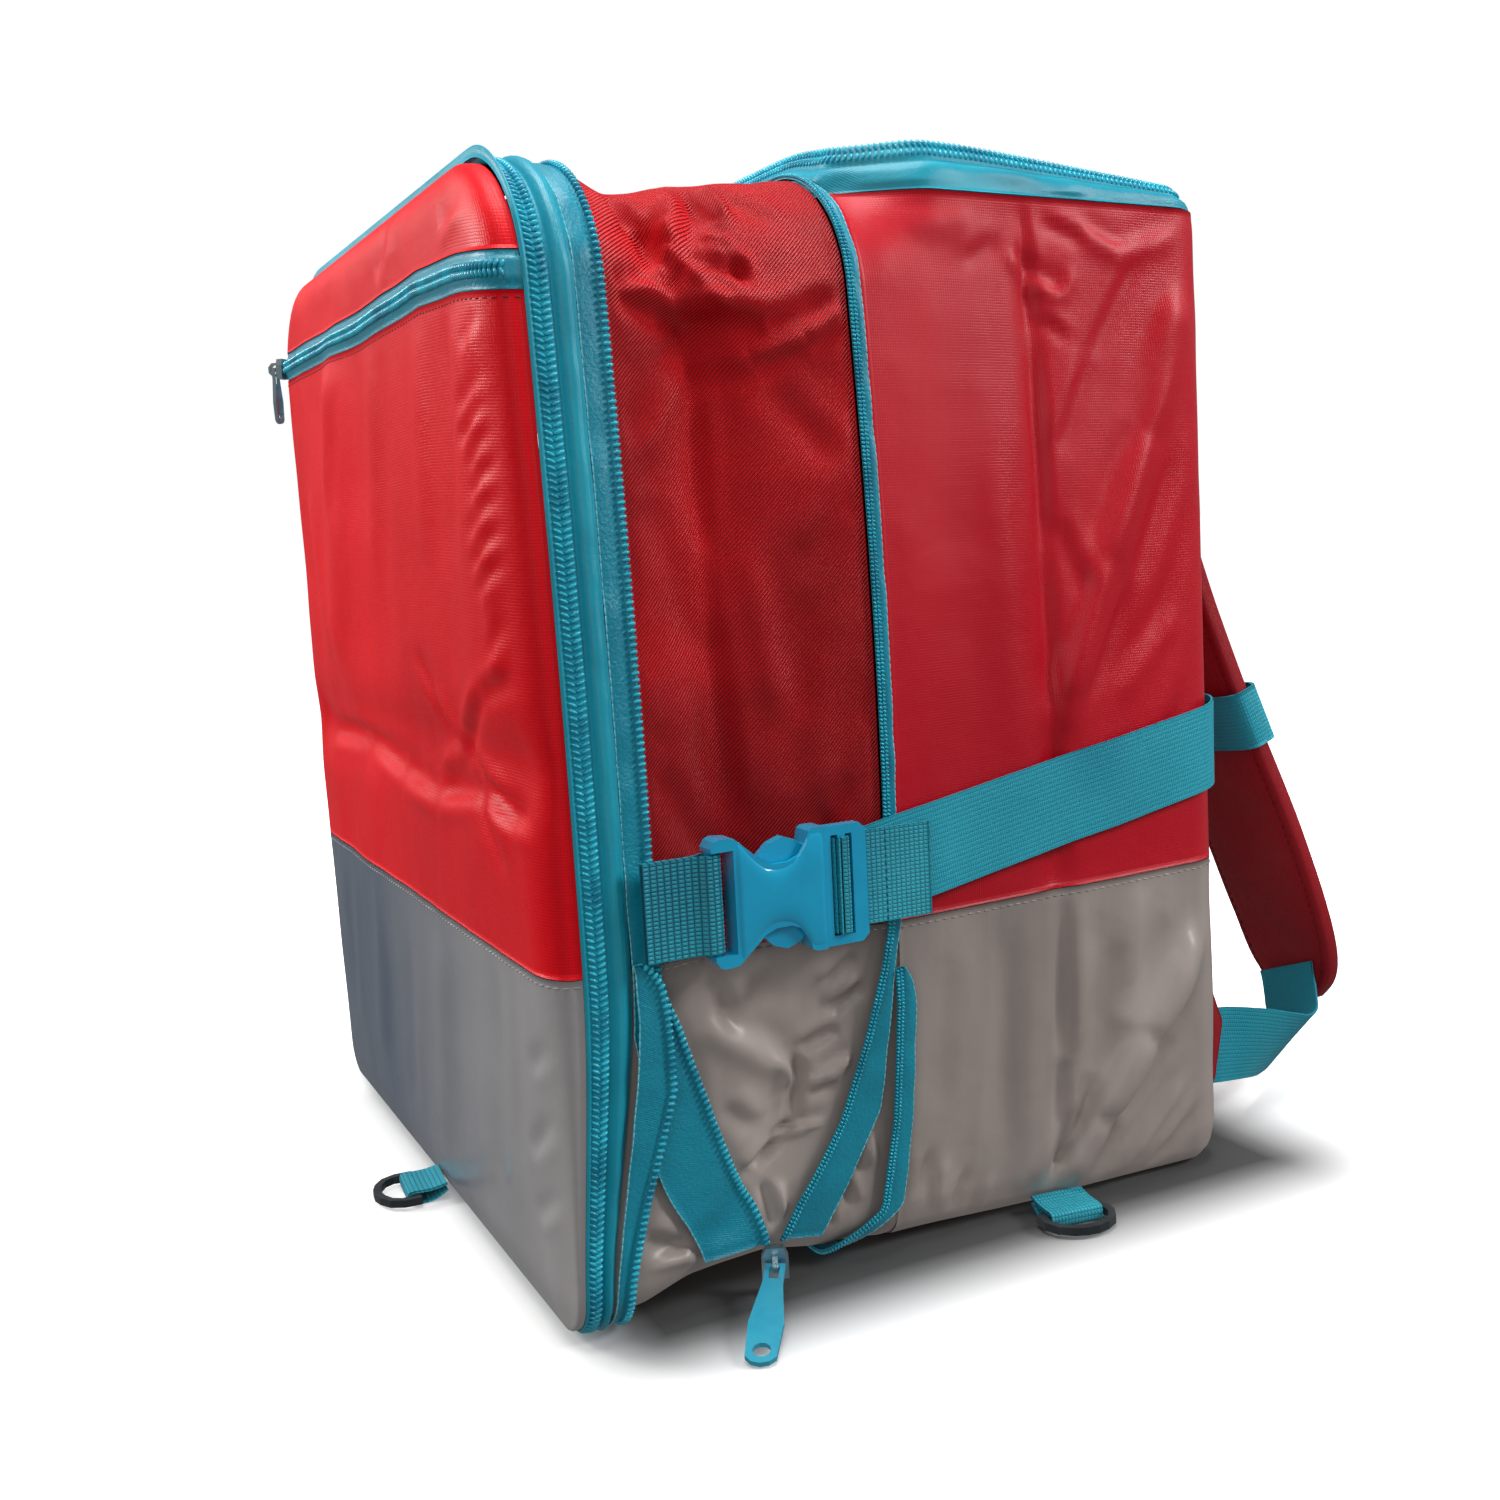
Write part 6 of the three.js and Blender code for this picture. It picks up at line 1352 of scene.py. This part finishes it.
# Foot tabs: doubled webbing round the rings, drawn along x and up
tabPath = [
    (-13, 7.75), (-5.85, 6.45), (3.3, 6.45), (5.15, 5.54), (5.15, 1.86), (3.3, 0.95), (-5.85, 1.35),
    (-13, 4.85),
]
footTabs = {
    "front_tab": (0.1 * halfWidth, bag["frontFace"] - 12.1, -95),
    "side_tab": (sideX(yIn("body", 0.43), 0) + 14, yIn("body", 0.43), -8),
}
for name, (x, y, turn) in footTabs.items():
    line = smoothPath(tabPath, 64)
    angle = math.radians(turn)
    middles = np.stack([x + line[:, 0] * math.cos(angle), y + line[:, 0] * math.sin(angle), line[:, 1]], -1)
    ups = np.tile([-math.sin(angle), math.cos(angle), 0.0], (len(line), 1))
    piece, _ = ribbon(name + "_webbing", middles, ups, 25, webbing["thick"])
    dress(piece, finish["gridWebbing"], replaced=[name])
print("straps and tabs ready")

# Buckle face: a crowned skin on the female half, with its notches
buckleFace = {
    "rows": [(9.6, 24.4), (12, 24.0), (15.4, 19.5), (19, 15.6), (23, 12.6), (27, 11.8), (31, 12.2),
             (35, 14.2), (38.6, 18.4), (41, 22.6), (43.4, 24), (47.9, 24)],
    "crown": 1.5, "inset": 1.3, "widest": 24.2,
}
faceRows = smoothPath(buckleFace["rows"], 60)
faceRows[:, 1] = np.minimum(faceRows[:, 1], buckleFace["widest"])
across = np.sin(np.linspace(-math.pi / 2, math.pi / 2, 33))
faceUp = across[None] * (faceRows[:, 1:2] - buckleFace["inset"])
faceRun = faceRows[:, :1]
endFade = smooth(0, 2.4, faceRun - faceRun[0]) * smooth(0, 1.6, faceRun[-1] - faceRun)
crown = buckleFace["crown"] * (1 - np.abs(across[None]) ** 3.2) ** 0.6 * (0.25 + 0.75 * endFade)
faceX = buckleInner + buckle["thick"] - 0.35 + crown
faceGrid = np.stack([faceX, webbing["start"] + faceRows[:, :1] + 0 * faceUp, webbing["level"] + faceUp], -1)
buckleSkin = shell("buckle_face", faceGrid, 0.6)
dress(buckleSkin, finish["buckleBlue"])

# Moulded and cast parts keep their solids, with softened edges
hardParts = {
    "buckle_female": ("buckleBlue", 0.9, 3), "buckle_male": ("buckleBlue", 0.6, 3),
    "front_ring": ("ringBlack", 0.9, 3), "side_ring": ("ringBlack", 0.9, 3),
    "expansion_slider": ("castMetal", 0.5, 2), "pocket_slider": ("castMetal", 0.4, 2),
    "front_zip_slider": ("castMetal", 0.4, 2), "expansion_pull": ("pullBlue", 0.4, 2),
    "pocket_pull": ("castMetal", 0.35, 2), "front_zip_pull": ("pullBlue", 0.35, 2),
}
for name, (material, width, segments) in hardParts.items():
    part = nodes[name]
    part.data.materials.clear()
    part.data.materials.append(finish[material])
    bevel = part.modifiers.new("softened edges", "BEVEL")
    bevel.width = width * 0.001
    bevel.segments = segments
    bevel.limit_method = "ANGLE"
    bevel.angle_limit = math.radians(28)
print("hard parts ready")

# Floor: a painted shadow round the bag's foot, where its colour turns dark and its glow fades out; white
# away from it
floorLook = {"paintedShadow": (0.10, 0.10, 0.10), "pale": (0.86, 0.86, 0.86),
             "footX": (-0.12, 0.206), "footY": (-0.13, 0.18), "paintedShadowReach": 0.05,
             "shadowGlowReach": 0.12, "size": 30, "backdrop": 1.0}
floorMaterial, floorTree, floorShader = newMaterial("floor_painted_shadow")
floorShader.inputs["Roughness"].default_value = 0.9
floorShader.inputs["Specular IOR Level"].default_value = 0
floorShader.inputs["Emission Color"].default_value = (1, 1, 1, 1)
places = placeNodes(floorTree)
squares = []
for axis, (low, high) in enumerate((floorLook["footX"], floorLook["footY"])):
    fromMiddle = mathNode(floorTree, "SUBTRACT", places[axis], (low + high) / 2)
    past = mathNode(floorTree, "SUBTRACT", mathNode(floorTree, "ABSOLUTE", fromMiddle), (high - low) / 2)
    outside = mathNode(floorTree, "MAXIMUM", past, 0)
    squares.append(mathNode(floorTree, "MULTIPLY", outside, outside))
fromFoot = mathNode(floorTree, "SQRT", mathNode(floorTree, "ADD", squares[0], squares[1]))
# Painted contact shadow: the colour darkens close to the bag's foot
outsideShadowShare = rangeNode(floorTree, fromFoot, 0, floorLook["paintedShadowReach"], 0, 1)
shadowedFloorColour = mixNode(floorTree, outsideShadowShare, floorLook["paintedShadow"], floorLook["pale"])
floorTree.links.new(shadowedFloorColour, floorShader.inputs["Base Color"])
# The glow fades out close to the foot, which deepens the painted shadow
glowOutsideShadow = rangeNode(floorTree, fromFoot, 0.01, floorLook["shadowGlowReach"], 0, 1)
floorTree.links.new(glowOutsideShadow, floorShader.inputs["Emission Strength"])
reach = floorLook["size"] * 1000
corners = [(-reach, -reach, 0), (reach, -reach, 0), (reach, reach, 0), (-reach, reach, 0)]
floor = meshObject("floor", corners, [[0, 1, 2, 3]])
floor.data.materials.append(floorMaterial)
backdropMaterial, _, backdropShader = newMaterial("pale_backdrop")
backdropShader.inputs["Base Color"].default_value = (0, 0, 0, 1)
backdropShader.inputs["Emission Color"].default_value = (1, 1, 1, 1)
backdropShader.inputs["Emission Strength"].default_value = floorLook["backdrop"]
bpy.ops.mesh.primitive_uv_sphere_add(segments=32, ring_count=16, radius=floorLook["size"])
backdrop = bpy.context.active_object
backdrop.name = "backdrop"
backdrop.data.materials.append(backdropMaterial)
for flag in ("visible_diffuse", "visible_glossy", "visible_transmission", "visible_shadow"):
    setattr(backdrop, flag, False)  # it lights nothing
floor.visible_glossy = False
floor.visible_diffuse = False  # its glow must not light the bag
